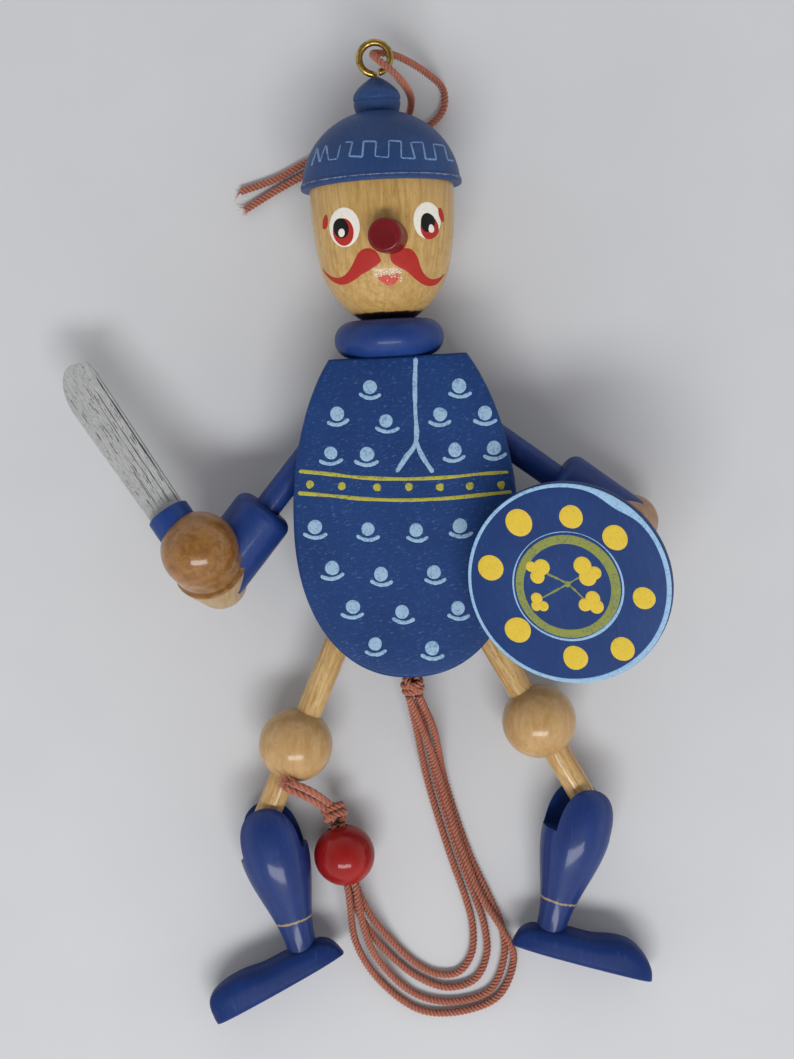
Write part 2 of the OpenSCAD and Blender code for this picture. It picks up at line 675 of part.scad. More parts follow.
CALF_TOP_POWER = 2.6;
CALF_STEPS = 12;
function calf_r(drop) =
    drop < calf_slot_depth
        ? calf_d / 2 * pow(1 - pow(1 - drop / calf_slot_depth, CALF_TOP_POWER), 1 / CALF_TOP_POWER)
        : ankle_d / 2 + (calf_d - ankle_d) / 2
            * (1 + cos(180 * pow((drop - calf_slot_depth) / (calf_len - calf_slot_depth), 0.95))) / 2;
function calf_drop(i) =
    i <= CALF_STEPS
        ? calf_slot_depth * pow(i / CALF_STEPS, 2)
        : calf_slot_depth + (calf_len - calf_slot_depth) * (i - CALF_STEPS) / CALF_STEPS;

slot_half = limb_d / 2 + slot_play;
knee_pin_back = calf_r(calf_pin_drop) - 1;
knee_pin_front = slot_half + 2.2;

module calf(side) color(BLUE) calf_frame(side) translate([0, calf_pin_drop, 0]) difference() {
    limb_axis() union() {
        rotate_extrude() polygon(concat(
            [for (i = [0:2 * CALF_STEPS]) [calf_r(calf_drop(i)), calf_drop(i)]],
            [[0, calf_len]]
        ));
        cylinder(d = tenon_d, h = calf_len + tenon_depth);
    }
    translate([-calf_d, -calf_slot_depth, -slot_half]) cube([2 * calf_d, calf_slot_depth + past, 2 * slot_half]);
    translate([0, -calf_pin_drop, -calf_d]) cylinder(d = pin_d, h = calf_d + knee_pin_front);
}

module knee_pin(side) color(STEEL) calf_frame(side) translate([0, 0, -knee_pin_back])
    cylinder(d = pin_d, h = knee_pin_back + knee_pin_front);

// Stations along a shoe: shares of its length and of its height, behind the ankle and ahead of it
SHOE_SIDES = 20;
HEEL_STATIONS = [[1, 0.1], [0.96, 0.35], [0.87, 0.64], [0.64, 0.88], [0.4, 0.93], [0, 0.97]];
TOE_STATIONS = [
    [0.13, 0.85], [0.4, 0.85], [0.53, 0.97], [0.65, 1], [0.74, 0.96], [0.82, 0.83], [0.9, 0.62], [0.96, 0.37], [0.99, 0.17],
    [1, 0.06]
];
SHOE_STATIONS = concat(
    [for (s = HEEL_STATIONS) [-s[0] * heel_len, s[1] * shoe_h]],
    [for (s = TOE_STATIONS) [s[0] * toe_len, s[1] * toe_h]]
);
function shoe_half(x) = let (mid = (toe_len - heel_len) / 2, reach = (toe_len + heel_len) / 2)
    shoe_w / 2 * pow(max(0.02, 1 - pow(abs(x - mid) / reach, 2.8)), 1 / 2.8);
function upper(c) = sign(c) * pow(abs(c), c > 0 ? 0.8 : 0.3);
module shoe(side) color(BLUE) shoe_frame(side) difference() {
    translate([0, -shoe_seat(), 0]) loft([
        for (s = SHOE_STATIONS)
            [for (k = [0:SHOE_SIDES - 1]) let (a = 360 * k / SHOE_SIDES)
                [s[0], s[1] / 2 * (1 + upper(cos(a))), shoe_half(s[0]) * sign(sin(a)) * pow(abs(sin(a)), 0.6)]]
    ]);
    mirror([side == LEFT ? 1 : 0, 0, 0]) rotate(side * pitch(side)) {
        rotate([-90, 0, 0]) cylinder(d = ankle_d + 2 * glue, h = shoe_h);
        limb_axis() cylinder(d = tenon_d + 2 * glue, h = tenon_depth + glue);
    }
}

// The calf stands this far above the sole, in a shallow seat
SEAT_SINK = 1.2;
function shoe_seat() = shoe_h - SEAT_SINK;

// Strings and cords

function turned(side, angle, p) = let (a = side * angle)
    [p[0] * cos(a) - p[1] * sin(a), p[0] * sin(a) + p[1] * cos(a), 0];

// Goes from the stopper knot through the lever's hole and down to the knot under the body
function string_route(side, pivot, angle, lever, bends, depth) = concat(
    [for (x = [side * STRING_OVERHANG, -side * (limb_d / 2 + 1)])
        concat(pivot, 0) + turned(side, angle, [x, lever])],
    [for (b = bends) [side * b[0], b[1], b[2]]],
    [KNOT_AT + [side * STRING_SPREAD, 2, depth]]
);
module limb_string(route) {
    way = STOPPER_D / 2 * unit(route[1] - route[0]);
    rest = [for (i = [1:len(route) - 1]) route[i]];
    color(CORD) lying() cord(
        concat([route[0] - way, route[0], route[0] + 0.85 * way], rest), [cord_d / 3, STOPPER_D / 2]);
}
module arm_string(side) limb_string(string_route(
    side, [side * shoulder_x, -shoulder_drop], arm_angle(side), arm_lever, ARM_STRING_BENDS, STRING_SPREAD));
module leg_string(side) limb_string(string_route(
    side, hip(side), thigh_angle(side), leg_lever, LEG_STRING_BENDS, -STRING_SPREAD));

module pull_knot() color(CORD) lying() translate(KNOT_AT) upright_axis() knot(knot_d, knot_d);

module bead() color([0.6, 0.12, 0.1]) translate(BEAD_AT) rotate(BEAD_TURN) difference() {
    sphere(d = bead_d);
    upright_axis() cylinder(d = bead_bore, h = bead_d + 2 * past, center = true);
}

module bead_knot() color(CORD) translate(BEAD_KNOT_AT) rotate(BEAD_TURN) upright_axis() knot(BEAD_KNOT[0], BEAD_KNOT[1]);

module bead_tails() color(CORD) {
    cord(BEAD_TAIL_1);
    cord(BEAD_TAIL_2);
}

module hanging_knot() color(CORD) translate(HANGING_KNOT_AT) rotate([0, 90, 0]) knot(HANGING_KNOT[0], HANGING_KNOT[1]);

module hanging_tails() color(CORD) {
    cord(HANGING_TAIL_1);
    cord(HANGING_TAIL_2);
}

body_front();
body_back();
neck_block();
neck_dowel();
neck_ring();
head();
nose();
hat();
screw_eye();
shoulder_pins();
hip_pins();
upper_arm(LEFT);  // left_upper_arm
sleeve(LEFT);  // left_sleeve
fist(LEFT);  // left_fist
sword_hilt();
sword_blade();
upper_arm(RIGHT);  // right_upper_arm
sleeve(RIGHT);  // right_sleeve
fist(RIGHT);  // right_fist
shield_peg();
shield();
thigh(LEFT);  // left_thigh
knee_ball(LEFT);  // left_knee_ball
calf(LEFT);  // left_calf
knee_pin(LEFT);  // left_knee_pin
shoe(LEFT);  // left_shoe
thigh(RIGHT);  // right_thigh
knee_ball(RIGHT);  // right_knee_ball
calf(RIGHT);  // right_calf
knee_pin(RIGHT);  // right_knee_pin
shoe(RIGHT);  // right_shoe
arm_string(LEFT);  // left_arm_string
arm_string(RIGHT);  // right_arm_string
leg_string(LEFT);  // left_leg_string
leg_string(RIGHT);  // right_leg_string
pull_knot();
color(CORD) cord(STRAND_1);  // pull_strand_1
color(CORD) cord(STRAND_2);  // pull_strand_2
color(CORD) cord(STRAND_3);  // pull_strand_3
color(CORD) cord(STRAND_4);  // pull_strand_4
bead();
bead_knot();
bead_tails();
color(CORD) cord(HANGING_LOOP);  // hanging_loop
hanging_knot();
hanging_tails();
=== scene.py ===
import math

import bmesh
import bpy
import numpy as np
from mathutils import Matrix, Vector


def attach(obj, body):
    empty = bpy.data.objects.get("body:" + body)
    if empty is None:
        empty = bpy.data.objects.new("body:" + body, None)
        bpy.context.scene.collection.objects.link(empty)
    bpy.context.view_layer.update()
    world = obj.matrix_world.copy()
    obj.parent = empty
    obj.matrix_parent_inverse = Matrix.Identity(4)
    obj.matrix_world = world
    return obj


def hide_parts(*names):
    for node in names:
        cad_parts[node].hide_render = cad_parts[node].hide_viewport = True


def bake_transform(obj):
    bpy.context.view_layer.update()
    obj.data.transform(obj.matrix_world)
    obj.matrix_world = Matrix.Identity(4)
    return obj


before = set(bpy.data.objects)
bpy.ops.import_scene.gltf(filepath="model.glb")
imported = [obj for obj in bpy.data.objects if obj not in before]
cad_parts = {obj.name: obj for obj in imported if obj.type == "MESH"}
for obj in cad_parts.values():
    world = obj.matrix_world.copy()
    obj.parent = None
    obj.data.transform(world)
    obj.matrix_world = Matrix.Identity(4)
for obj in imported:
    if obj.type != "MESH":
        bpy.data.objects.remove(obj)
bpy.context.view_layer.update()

MM = 0.001
LEFT, RIGHT = -1, 1

# Places of the toy's pieces, as 4x4 matrices in millimetres


def move(x, y, z):
    m = np.eye(4)
    m[:3, 3] = (x, y, z)
    return m


def turn(axis, degrees):
    """Right-hand turn about one of the axes x, y and z."""
    c, s = math.cos(math.radians(degrees)), math.sin(math.radians(degrees))
    i, j = {"x": (1, 2), "y": (2, 0), "z": (0, 1)}[axis]
    m = np.eye(4)
    m[i, i] = m[j, j] = c
    m[j, i], m[i, j] = s, -s
    return m


TILT, REST_Z = 3.87907, 18.1477
COLLAR_AT = (10.7, 47.2)
LYING = move(*COLLAR_AT, REST_Z) @ turn("x", TILT)
HEAD_X = -1.9
HEAD_AXIS = LYING @ move(HEAD_X, 0, 0) @ turn("x", -90)
ALONG_LIMB = turn("x", 90)
FLIP_X = np.diag([-1.0, 1, 1, 1])

ARM_ANGLE = {LEFT: 40.5, RIGHT: 52.0}
SHOULDER = (19.0, -17.5)
ARM_LEN = 50.0
FIST_ROLL = {LEFT: 35.0, RIGHT: 37.0}
FIST_LEAN = {LEFT: 18.0, RIGHT: 12.0}
FIST_BALL_UP = 13.0
SWORD_TURN, SWORD_LEAN, SWORD_SHIFT = 73.2, -12.0, -1.4
THIGH_ANGLE = {LEFT: 25.2, RIGHT: 27.4}
KNEE_BEND = {LEFT: 38.0, RIGHT: 44.6}
HIP = (15.5, -65.7)
THIGH_LEN = 62.4
BALL_AT = {LEFT: 40.4, RIGHT: 37.8}
PITCH = {LEFT: 14.0, RIGHT: 1.0}
CALF_LEN, CALF_PIN = 42.0, 5.0
SIDE_NAME = {LEFT: "left", RIGHT: "right"}


def arm_place(side):
    return LYING @ move(side * SHOULDER[0], SHOULDER[1], 0) @ turn("z", side * ARM_ANGLE[side])


def fist_place(side):
    return arm_place(side) @ move(0, -ARM_LEN, 0) @ turn("y", -FIST_ROLL[side]) @ turn("x", -FIST_LEAN[side])


def sword_place():
    """At the fist's ball, level with the toy again, and turned to the sword's own heading."""
    ball = fist_place(LEFT) @ move(0, 0, FIST_BALL_UP)
    level = ball @ turn("x", FIST_LEAN[LEFT]) @ turn("y", FIST_ROLL[LEFT])
    return level @ turn("z", SWORD_TURN) @ turn("x", SWORD_LEAN) @ move(SWORD_SHIFT, 0, 0)


def thigh_place(side):
    return LYING @ move(side * HIP[0], HIP[1], 0) @ turn("z", side * THIGH_ANGLE[side])


def calf_place(side):
    knee = thigh_place(side) @ move(0, -THIGH_LEN, 0)
    return knee @ turn("z", -side * KNEE_BEND[side])


def shoe_place(side):
    ankle = calf_place(side) @ move(0, CALF_PIN - CALF_LEN, 0) @ turn("z", -side * PITCH[side])
    return ankle @ (FLIP_X if side == LEFT else np.eye(4))


def put(points, place):
    """Points in millimetres in a piece's own frame, taken to the row frame in metres."""
    return (points @ place[:3, :3].T + place[:3, 3]) * MM


# Mesh tools

WELD_GAP, FLAT_EDGE = 2e-7, 1e-8
TURNED_CREASE, BOARD_CREASE, SHOE_CREASE = 35, 40, 50
EDGE_STEPS, CAP_RINGS = 6, 10
ANY_SIDE = (0.31, 0.17, 0.93)


def angles(count):
    """Angles once round a circle."""
    return np.linspace(0, 2 * math.pi, count, endpoint=False)


def grid_faces(rows, columns, wrap=False):
    """Quads between neighbouring points of a grid, as corner numbers; wrap joins each row into a ring."""
    i = np.arange(rows - 1)[:, None] * columns
    j = np.arange(columns if wrap else columns - 1)[None, :]
    j2 = (j + 1) % columns
    return np.stack([i + j, i + j2, i + columns + j2, i + columns + j], axis=-1).reshape(-1, 4)


def piece_from(name, points, faces, mask=None, uv=None, sharp=None, weld=True):
    """One mesh object at the origin, from points in metres and quads, with a mask and a map for its finish.

    Welding merges doubles, as at poles, and turns the faces outwards."""
    mesh = bpy.data.meshes.new(name)
    mesh.from_pydata(points.reshape(-1, 3).tolist(), [], faces.tolist())
    if mask is not None:
        layer = mesh.attributes.new("mask", "FLOAT", "POINT")
        layer.data.foreach_set("value", np.asarray(mask, np.float32).ravel())
    if uv is not None:
        loops = np.empty(len(mesh.loops), np.int32)
        mesh.loops.foreach_get("vertex_index", loops)
        layer = mesh.uv_layers.new(name="along")
        layer.data.foreach_set("uv", uv.reshape(-1, 2)[loops].astype(np.float32).ravel())
    if weld:
        bm = bmesh.new()
        bm.from_mesh(mesh)
        bmesh.ops.remove_doubles(bm, verts=bm.verts, dist=WELD_GAP)
        bmesh.ops.dissolve_degenerate(bm, edges=bm.edges, dist=FLAT_EDGE)
        bmesh.ops.recalc_face_normals(bm, faces=bm.faces)
        bm.to_mesh(mesh)
        bm.free()
    mesh.shade_smooth()
    if sharp:
        mesh.set_sharp_from_angle(angle=math.radians(sharp))
    obj = bpy.data.objects.new(name, mesh)
    bpy.context.scene.collection.objects.link(obj)
    return obj


def skin(name, points, place, mask=None, uv=None, sharp=None):
    """A piece from rows of points in its own frame, each row joined into a ring."""
    return piece_from(name, put(points, place), grid_faces(*points.shape[:2], wrap=True), mask, uv, sharp)


def dress(obj, material, body, slot, *nodes):
    """Gives a piece its finish, the body it moves with and the solids that it stands for; slot is not used.
    """
    obj.data.materials.clear()
    obj.data.materials.append(material)
    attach(obj, body)
    if nodes:
        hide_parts(*nodes)
    return obj


def turned(name, profile, place, around=128, mask=None):
    """A lathe turning: the profile's radius and height, carried once round the axis z of its place."""
    r, h = np.asarray(profile, float).T[:, :, None]
    a = angles(around)
    points = np.stack([r * np.cos(a), r * np.sin(a), np.repeat(h, around, axis=1)], axis=-1)
    if mask is not None:
        mask = np.repeat(np.asarray(mask, float)[:, None], around, axis=1)
    return skin(name, points, place, mask, sharp=TURNED_CREASE)


def arc(cx, cy, r, start, end, steps=12):
    """Points on a circle from one angle to another, in degrees."""
    a = np.radians(np.linspace(start, end, steps))
    return np.stack([cx + r * np.cos(a), cy + r * np.sin(a)], axis=1)


def spline(points, count, closed=False):
    """A smooth curve through points: cubic pieces, with slopes from each point's two neighbours."""
    p = np.asarray(points, float)
    if closed:
        p = np.concatenate([p[-2:], p, p[:3]])
    t = np.concatenate([[0], np.cumsum(np.sqrt(np.linalg.norm(np.diff(p, axis=0), axis=1)))])
    m = np.gradient(p, t, axis=0)
    lo, hi = (t[2], t[-3]) if closed else (t[0], t[-1])
    q = np.linspace(lo, hi, count, endpoint=not closed)
    k = np.clip(np.searchsorted(t, q, side="right") - 1, 0, len(t) - 2)
    h = (t[k + 1] - t[k])[:, None]
    s = ((q - t[k])[:, None]) / h
    return ((2 * s**3 - 3 * s**2 + 1) * p[k] + (s**3 - 2 * s**2 + s) * h * m[k]
            + (-2 * s**3 + 3 * s**2) * p[k + 1] + (s**3 - s**2) * h * m[k + 1])


def distance_along(line):
    """Length of a line from its start to each of its points."""
    return np.concatenate([[0], np.cumsum(np.linalg.norm(np.diff(line, axis=0), axis=1))])


def evenly(points, step):
    """The same line with its points an equal step apart, and the length up to each."""
    d = distance_along(points)
    q = np.linspace(0, d[-1], max(3, int(round(d[-1] / step)) + 1))
    return np.stack([np.interp(q, d, points[:, i]) for i in range(points.shape[1])], axis=1), q


def headings(line):
    """Unit vectors along a line at each of its points."""
    t = np.gradient(line, axis=0)
    return t / np.linalg.norm(t, axis=1)[:, None]


def inset(outline, amount):
    """A closed anticlockwise outline moved inwards square to itself."""
    along = np.roll(outline, -1, axis=0) - np.roll(outline, 1, axis=0)
    along /= np.linalg.norm(along, axis=1)[:, None]
    return outline + amount * np.stack([-along[:, 1], along[:, 0]], axis=1)


def slab(name, outline, low, high, edge, place, middle):
    """A flat board: its outline, drawn in by a quarter round at both faces, and rings to its middle."""
    a = np.radians(np.linspace(0, 90, EDGE_STEPS))
    levels = [(edge * (1 - math.sin(q)), low + edge * (1 - math.cos(q))) for q in a]
    levels += [(e, low + high - z) for e, z in reversed(levels)]
    rings = [np.column_stack([inset(outline, e), np.full(len(outline), z)]) for e, z in levels]
    centre = np.array([*middle, 0.0])
    shares = np.linspace(1, 0, CAP_RINGS)[1:]

    def cap(ring):
        flat = centre + [0, 0, ring[0, 2]]
        return [flat + (ring - flat) * s for s in shares]

    points = np.array(cap(rings[0])[::-1] + rings + cap(rings[-1]))
    return skin(name, points, place, sharp=BOARD_CREASE)


def carried_frames(path):
    """Two side vectors square to a path at each of its points, carried along without twist."""
    t = headings(path)
    u = np.empty_like(t)
    side = np.cross(t[0], ANY_SIDE)
    for i, heading in enumerate(t):
        side = side - heading * (side @ heading)
        side /= np.linalg.norm(side)
        u[i] = side
    return u, np.cross(t, u)


def tube(path, radius, angle):
    """Rings square to a path, each point at its radius and angle, closed with a single point at both ends."""
    u, v = carried_frames(path)
    out = np.cos(angle)[..., None] * u[:, None] + np.sin(angle)[..., None] * v[:, None]
    rings = path[:, None] + radius[..., None] * out
    ends = [np.repeat(path[k][None, None], rings.shape[1], axis=1) for k in (0, -1)]
    return np.concatenate([ends[0], rings, ends[1]])


# Finishes


class Graph:
    """Adds nodes to a shader tree and joins them."""

    def __init__(self, tree):
        self.tree = tree

    def add(self, kind, inputs=None, **settings):
        n = self.tree.nodes.new("ShaderNode" + kind)
        for key, value in settings.items():
            setattr(n, key, value)
        for key, value in (inputs or {}).items():
            self.feed(n.inputs[key], value)
        return n

    def feed(self, socket, value):
        if isinstance(value, bpy.types.NodeSocket):
            self.tree.links.new(value, socket)
        else:
            socket.default_value = value

    def math(self, operation, a, b):
        return self.add("Math", {0: a, 1: b}, operation=operation).outputs[0]

    def times(self, a, b):
        return self.math("MULTIPLY", a, b)

    def plus(self, a, b):
        return self.math("ADD", a, b)

    def mix(self, factor, a, b):
        return self.add("Mix", {"Factor": factor, 6: a, 7: b}, data_type="RGBA").outputs[2]

    def ramp(self, value, low, high):
        """0 below low, 1 above high and a smooth step between."""
        return self.add("MapRange", {"Value": value, "From Min": low, "From Max": high},
                        interpolation_type="SMOOTHSTEP").outputs["Result"]

    def noise(self, vector, scale, detail=3.0, rough=0.5, distort=0.0):
        return self.add("TexNoise", {"Vector": vector, "Scale": scale, "Detail": detail, "Roughness": rough,
                                     "Distortion": distort}).outputs["Fac"]


def srgb(r, g, b):
    """A colour as painters' charts give it, 0 to 255, made linear."""
    c = np.array([r, g, b]) / 255
    lin = np.where(c <= 0.04045, c / 12.92, ((c + 0.055) / 1.055) ** 2.4)
    return (*[float(v) for v in lin], 1.0)


EFFECT_OUT = {"Colour": "Color", "Roughness": "Float", "Height": "Float"}


def group(name, inputs, build):
    """A shared effect as a node group, with its own inputs and a colour, a roughness and a height."""
    tree = bpy.data.node_groups.new(name, "ShaderNodeTree")
    for way, sockets in (("INPUT", inputs), ("OUTPUT", EFFECT_OUT)):
        for socket, kind in sockets.items():
            tree.interface.new_socket(socket, in_out=way, socket_type="NodeSocket" + kind)
    build(Graph(tree), tree.nodes.new("NodeGroupInput").outputs, tree.nodes.new("NodeGroupOutput").inputs)
    return tree


def paint_group():
    """Brushed paint: cloudy shade, brush streaks, painted sparkle of light on the grain in pale flecks, and
    their height.
    """

    def build(g, i, o):
        cloud = g.noise(i["Place"], 60.0, 3.0)
        streak = g.noise(i["Brush"], 1.0, 4.0, 0.6)
        speck = g.noise(i["Place"], 2600.0, 2.0, 0.6)
        sparkle = g.ramp(g.noise(i["Brush"], 1.7, 3.0, 0.7, 0.4), 0.58, 0.7)
        shade = g.mix(g.times(g.ramp(cloud, 0.3, 0.7), 0.6), i["Paint"], i["Shade"])
        shade = g.mix(g.times(g.ramp(streak, 0.35, 0.75), 0.45), shade, i["Shade"])
        # Pale flecks and specks are painted sparkle: light caught by the raised grain.
        shade = g.mix(g.times(sparkle, i["Sparkles"]), shade, i["Sparkle"])
        shade = g.mix(g.times(g.ramp(speck, 0.62, 0.8), g.times(i["Sparkles"], 0.5)), shade, i["Sparkle"])
        g.feed(o["Colour"], shade)
        g.feed(o["Roughness"], g.plus(0.3, g.times(g.plus(streak, speck), 0.14)))
        g.feed(o["Height"], g.plus(g.times(streak, 0.7), g.times(speck, 0.3)))

    return group("brushed paint", {"Place": "Vector", "Brush": "Vector", "Paint": "Color", "Shade": "Color",
                                   "Sparkle": "Color", "Sparkles": "Float"}, build)


def grain_group():
    """Varnished wood: year rings drawn out along the grain, dark pores, cloudy varnish, and their height."""

    def build(g, i, o):
        ring = g.noise(i["Grain"], 1.0, 5.0, 0.6, 0.6)
        pore = g.ramp(g.noise(i["Grain"], 7.0, 2.0, 0.6), 0.58, 0.72)
        cloud = g.ramp(g.noise(i["Place"], 110.0, 3.0), 0.3, 0.7)
        wood = g.mix(g.ramp(ring, 0.35, 0.68), i["Light"], i["Dark"])
        wood = g.mix(g.times(pore, i["Pores"]), wood, i["Pore"])
        wood = g.mix(g.times(cloud, 0.35), wood, i["Dark"])
        g.feed(o["Colour"], wood)
        g.feed(o["Roughness"], g.plus(0.26, g.times(g.plus(pore, cloud), 0.1)))
        g.feed(o["Height"], g.math("SUBTRACT", g.times(ring, 0.3), pore))

    return group("varnished grain", {"Place": "Vector", "Grain": "Vector", "Light": "Color", "Dark": "Color",
                                     "Pore": "Color", "Pores": "Float"}, build)


PAINT = paint_group()
GRAIN = grain_group()


def new_material(name):
    material = bpy.data.materials.new(name)
    material.use_nodes = True
    g = Graph(material.node_tree)
    return material, g, material.node_tree.nodes["Principled BSDF"], g.add("TexCoord").outputs["Object"]


def along_grain(g, where, turns, fine, long_):
    """Object coordinates turned to the grain, then drawn out along its y axis."""
    spin = tuple(math.radians(v) for v in turns)
    turned_at = g.add("Mapping", {"Vector": where, "Rotation": spin}).outputs[0]
    return g.add("Mapping", {"Vector": turned_at, "Scale": (fine, long_, fine)}).outputs[0]


def finish_surface(g, bsdf, colour, roughness, height, bump_mm, others):
    """Joins a finish to its surface; others has the surface's further inputs."""
    bump = g.add("Bump", {"Strength": 1.0, "Distance": bump_mm * MM, "Height": height})
    inputs = {"Base Color": colour, "Roughness": roughness, "Normal": bump.outputs[0], **others}
    for key, value in inputs.items():
        g.feed(bsdf.inputs[key], value)


def ragged_mix(g, where, scale, spread, limits, colour, other):
    """Another colour wherever the piece's own mask is above about a half, with a ragged edge."""
    mask = g.add("Attribute", attribute_name="mask").outputs["Fac"]
    ragged = g.plus(mask, g.times(g.math("SUBTRACT", g.noise(where, scale, 3.0), 0.5), spread))
    return g.mix(g.ramp(ragged, *limits), colour, other)


def painted(name, paint, shade, sparkle, sparkles, turns=(0, 0, 0), fine=900.0, long_=120.0, bump=0.03, coat=0.15,
            ring=None, gleam=0.2, coat_rough=0.1):
    """Painted wood; ring is a second paint where the piece has a mask."""
    material, g, bsdf, where = new_material(name)
    n = g.add("Group", {"Place": where, "Brush": along_grain(g, where, turns, fine, long_), "Paint": paint,
                        "Shade": shade, "Sparkle": sparkle, "Sparkles": sparkles}, node_tree=PAINT).outputs
    colour = ragged_mix(g, where, 900.0, 0.9, (0.45, 0.6), n["Colour"], ring) if ring else n["Colour"]
    finish_surface(g, bsdf, colour, n["Roughness"], n["Height"], bump,
                   {"Specular IOR Level": gleam, "Coat Weight": coat, "Coat Roughness": coat_rough})
    return material


def wooden(name, light, dark, pore, pores, turns=(0, 0, 0), fine=700.0, long_=45.0, bump=0.02, coat=0.25,
           foot=None):
    """Varnished wood; foot is a darker tone where the piece has a mask: on the head, a stain with painted
    shade.
    """
    material, g, bsdf, where = new_material(name)
    n = g.add("Group", {"Place": where, "Grain": along_grain(g, where, turns, fine, long_), "Light": light,
                        "Dark": dark, "Pore": pore, "Pores": pores}, node_tree=GRAIN).outputs
    colour = ragged_mix(g, where, 500.0, 0.5, (0.4, 0.62), n["Colour"], foot) if foot else n["Colour"]
    finish_surface(g, bsdf, colour, n["Roughness"], n["Height"], bump,
                   {"Specular IOR Level": 0.25, "Coat Weight": coat, "Coat Roughness": 0.1})
    return material


def weathered(name, paint, worn, crack, turns):
    """Thin grey paint on coarse wood: worn streaks, and dark cracks and specks drawn out along the grain."""
    material, g, bsdf, where = new_material(name)
    grain = along_grain(g, where, turns, 2400.0, 45.0)
    streak = g.noise(grain, 1.0, 4.0, 0.6)
    cracks = g.ramp(g.noise(grain, 1.3, 3.0, 0.65, 0.5), 0.62, 0.7)
    specks = g.ramp(g.noise(along_grain(g, where, turns, 3000.0, 700.0), 1.0, 2.0, 0.6), 0.63, 0.69)
    dark = g.math("MAXIMUM", g.times(cracks, 0.6), g.times(specks, 0.6))
    colour = g.mix(dark, g.mix(g.ramp(streak, 0.35, 0.7), paint, worn), crack)
    rough, height = g.plus(0.5, g.times(streak, 0.2)), g.math("SUBTRACT", streak, dark)
    finish_surface(g, bsdf, colour, rough, height, 0.08, {"Specular IOR Level": 0.2})
    return material


def daubed(name, paint, thin, amount):
    """A thick brush mark: paint that thins to another colour in fine stipples."""
    material, g, bsdf, where = new_material(name)
    stipple = g.noise(where, 1700.0, 3.0, 0.65)
    cloud = g.noise(where, 350.0, 2.0)
    thinness = g.times(g.ramp(g.plus(stipple, g.times(cloud, 0.35)), 0.62, 0.95), amount)
    rough = g.plus(0.45, g.times(stipple, 0.15))
    finish_surface(g, bsdf, g.mix(thinness, paint, thin), rough, stipple, 0.02, {"Specular IOR Level": 0.2})
    return material


def metal(name, bright, dull, rough, scale):
    """Worn metal: a bright and a dull tone in fine mottles, rougher where dull."""
    material, g, bsdf, where = new_material(name)
    mottle = g.ramp(g.noise(where, scale, 4.0, 0.6), 0.35, 0.7)
    finish_surface(g, bsdf, g.mix(mottle, bright, dull), g.plus(rough, g.times(mottle, 0.2)), mottle, 0.01,
                   {"Metallic": 1.0})
    return material


def twisted_cotton(name, light, dark, fibre, groove):
    """Twisted cotton: fibres along each ply from the cord's map, cloudy dye, fuzz, and painted shade in the
    grooves.
    """
    material, g, bsdf, where = new_material(name)
    uv = g.add("UVMap", uv_map="along").outputs[0]
    strands_at = g.add("Mapping", {"Vector": uv, "Scale": (40.0, 900.0, 1.0)}).outputs[0]
    strands = g.noise(strands_at, 1.0, 3.0, 0.6)
    dye = g.noise(where, 260.0, 3.0)
    fuzz = g.noise(where, 3200.0, 2.0)
    colour = g.mix(g.ramp(strands, 0.3, 0.7), dark, light)
    colour = g.mix(g.times(g.ramp(dye, 0.4, 0.75), 0.45), colour, dark)
    colour = g.mix(g.times(g.ramp(fuzz, 0.6, 0.8), 0.35), colour, fibre)
    # Painted shade: the grooves between plies are darkened toward the groove colour.
    groove_shade = g.add("Attribute", attribute_name="mask").outputs["Fac"]
    colour = g.mix(g.times(groove_shade, 0.55), colour, groove)
    height = g.plus(strands, g.times(fuzz, 0.6))
    finish_surface(g, bsdf, colour, g.plus(0.75, g.times(fuzz, 0.2)), height, 0.12,
                   {"Sheen Weight": 0.25, "Sheen Roughness": 0.6})
    return material


# The pale blue is painted sparkle, light caught by the raised grain, strongest on the body.
BLUE, DEEP_BLUE, SPARKLE_BLUE = srgb(28, 60, 114), srgb(22, 49, 98), srgb(104, 132, 180)
BODY_BLUE = painted("body blue", BLUE, DEEP_BLUE, SPARKLE_BLUE, 0.42, turns=(0, 0, 76), fine=1500.0, long_=420.0,
                    bump=0.05, coat=0.0, gleam=0.15)
TURNED_BLUE = painted("turned blue", srgb(28, 58, 122), srgb(20, 44, 100), SPARKLE_BLUE, 0.08, coat=0.12)
SHOE_BLUE = painted("shoe blue", srgb(25, 49, 106), srgb(19, 39, 88), SPARKLE_BLUE, 0.08, coat=0.0, gleam=0.1)
HAT_BLUE = painted("hat blue", srgb(42, 69, 116), srgb(34, 57, 99), srgb(112, 124, 148), 0.1, coat=0.03,
                   ring=srgb(120, 126, 140), gleam=0.15)
CALF_BLUE = painted("calf blue", srgb(24, 51, 114), srgb(17, 39, 92), SPARKLE_BLUE, 0.06, coat=0.3, bump=0.06,
                    ring=srgb(150, 130, 96), coat_rough=0.12)
SHIELD_BLUE = painted("shield blue", srgb(28, 58, 112), srgb(22, 48, 98), SPARKLE_BLUE, 0.08, coat=0.0,
                      gleam=0.15)
RED_GLOSS = painted("red gloss", srgb(152, 24, 20), srgb(122, 15, 14), srgb(180, 74, 58), 0.05, coat=0.4,
                    bump=0.01, coat_rough=0.04, gleam=0.1)
NOSE_RED = painted("nose red", srgb(122, 22, 26), srgb(92, 12, 18), srgb(170, 74, 70), 0.12, coat=0.35,
                   gleam=0.1)
BLADE_GREY = weathered("blade grey", srgb(178, 179, 178), srgb(156, 157, 156), srgb(92, 92, 90),
                       turns=(0, 0, -32.7))
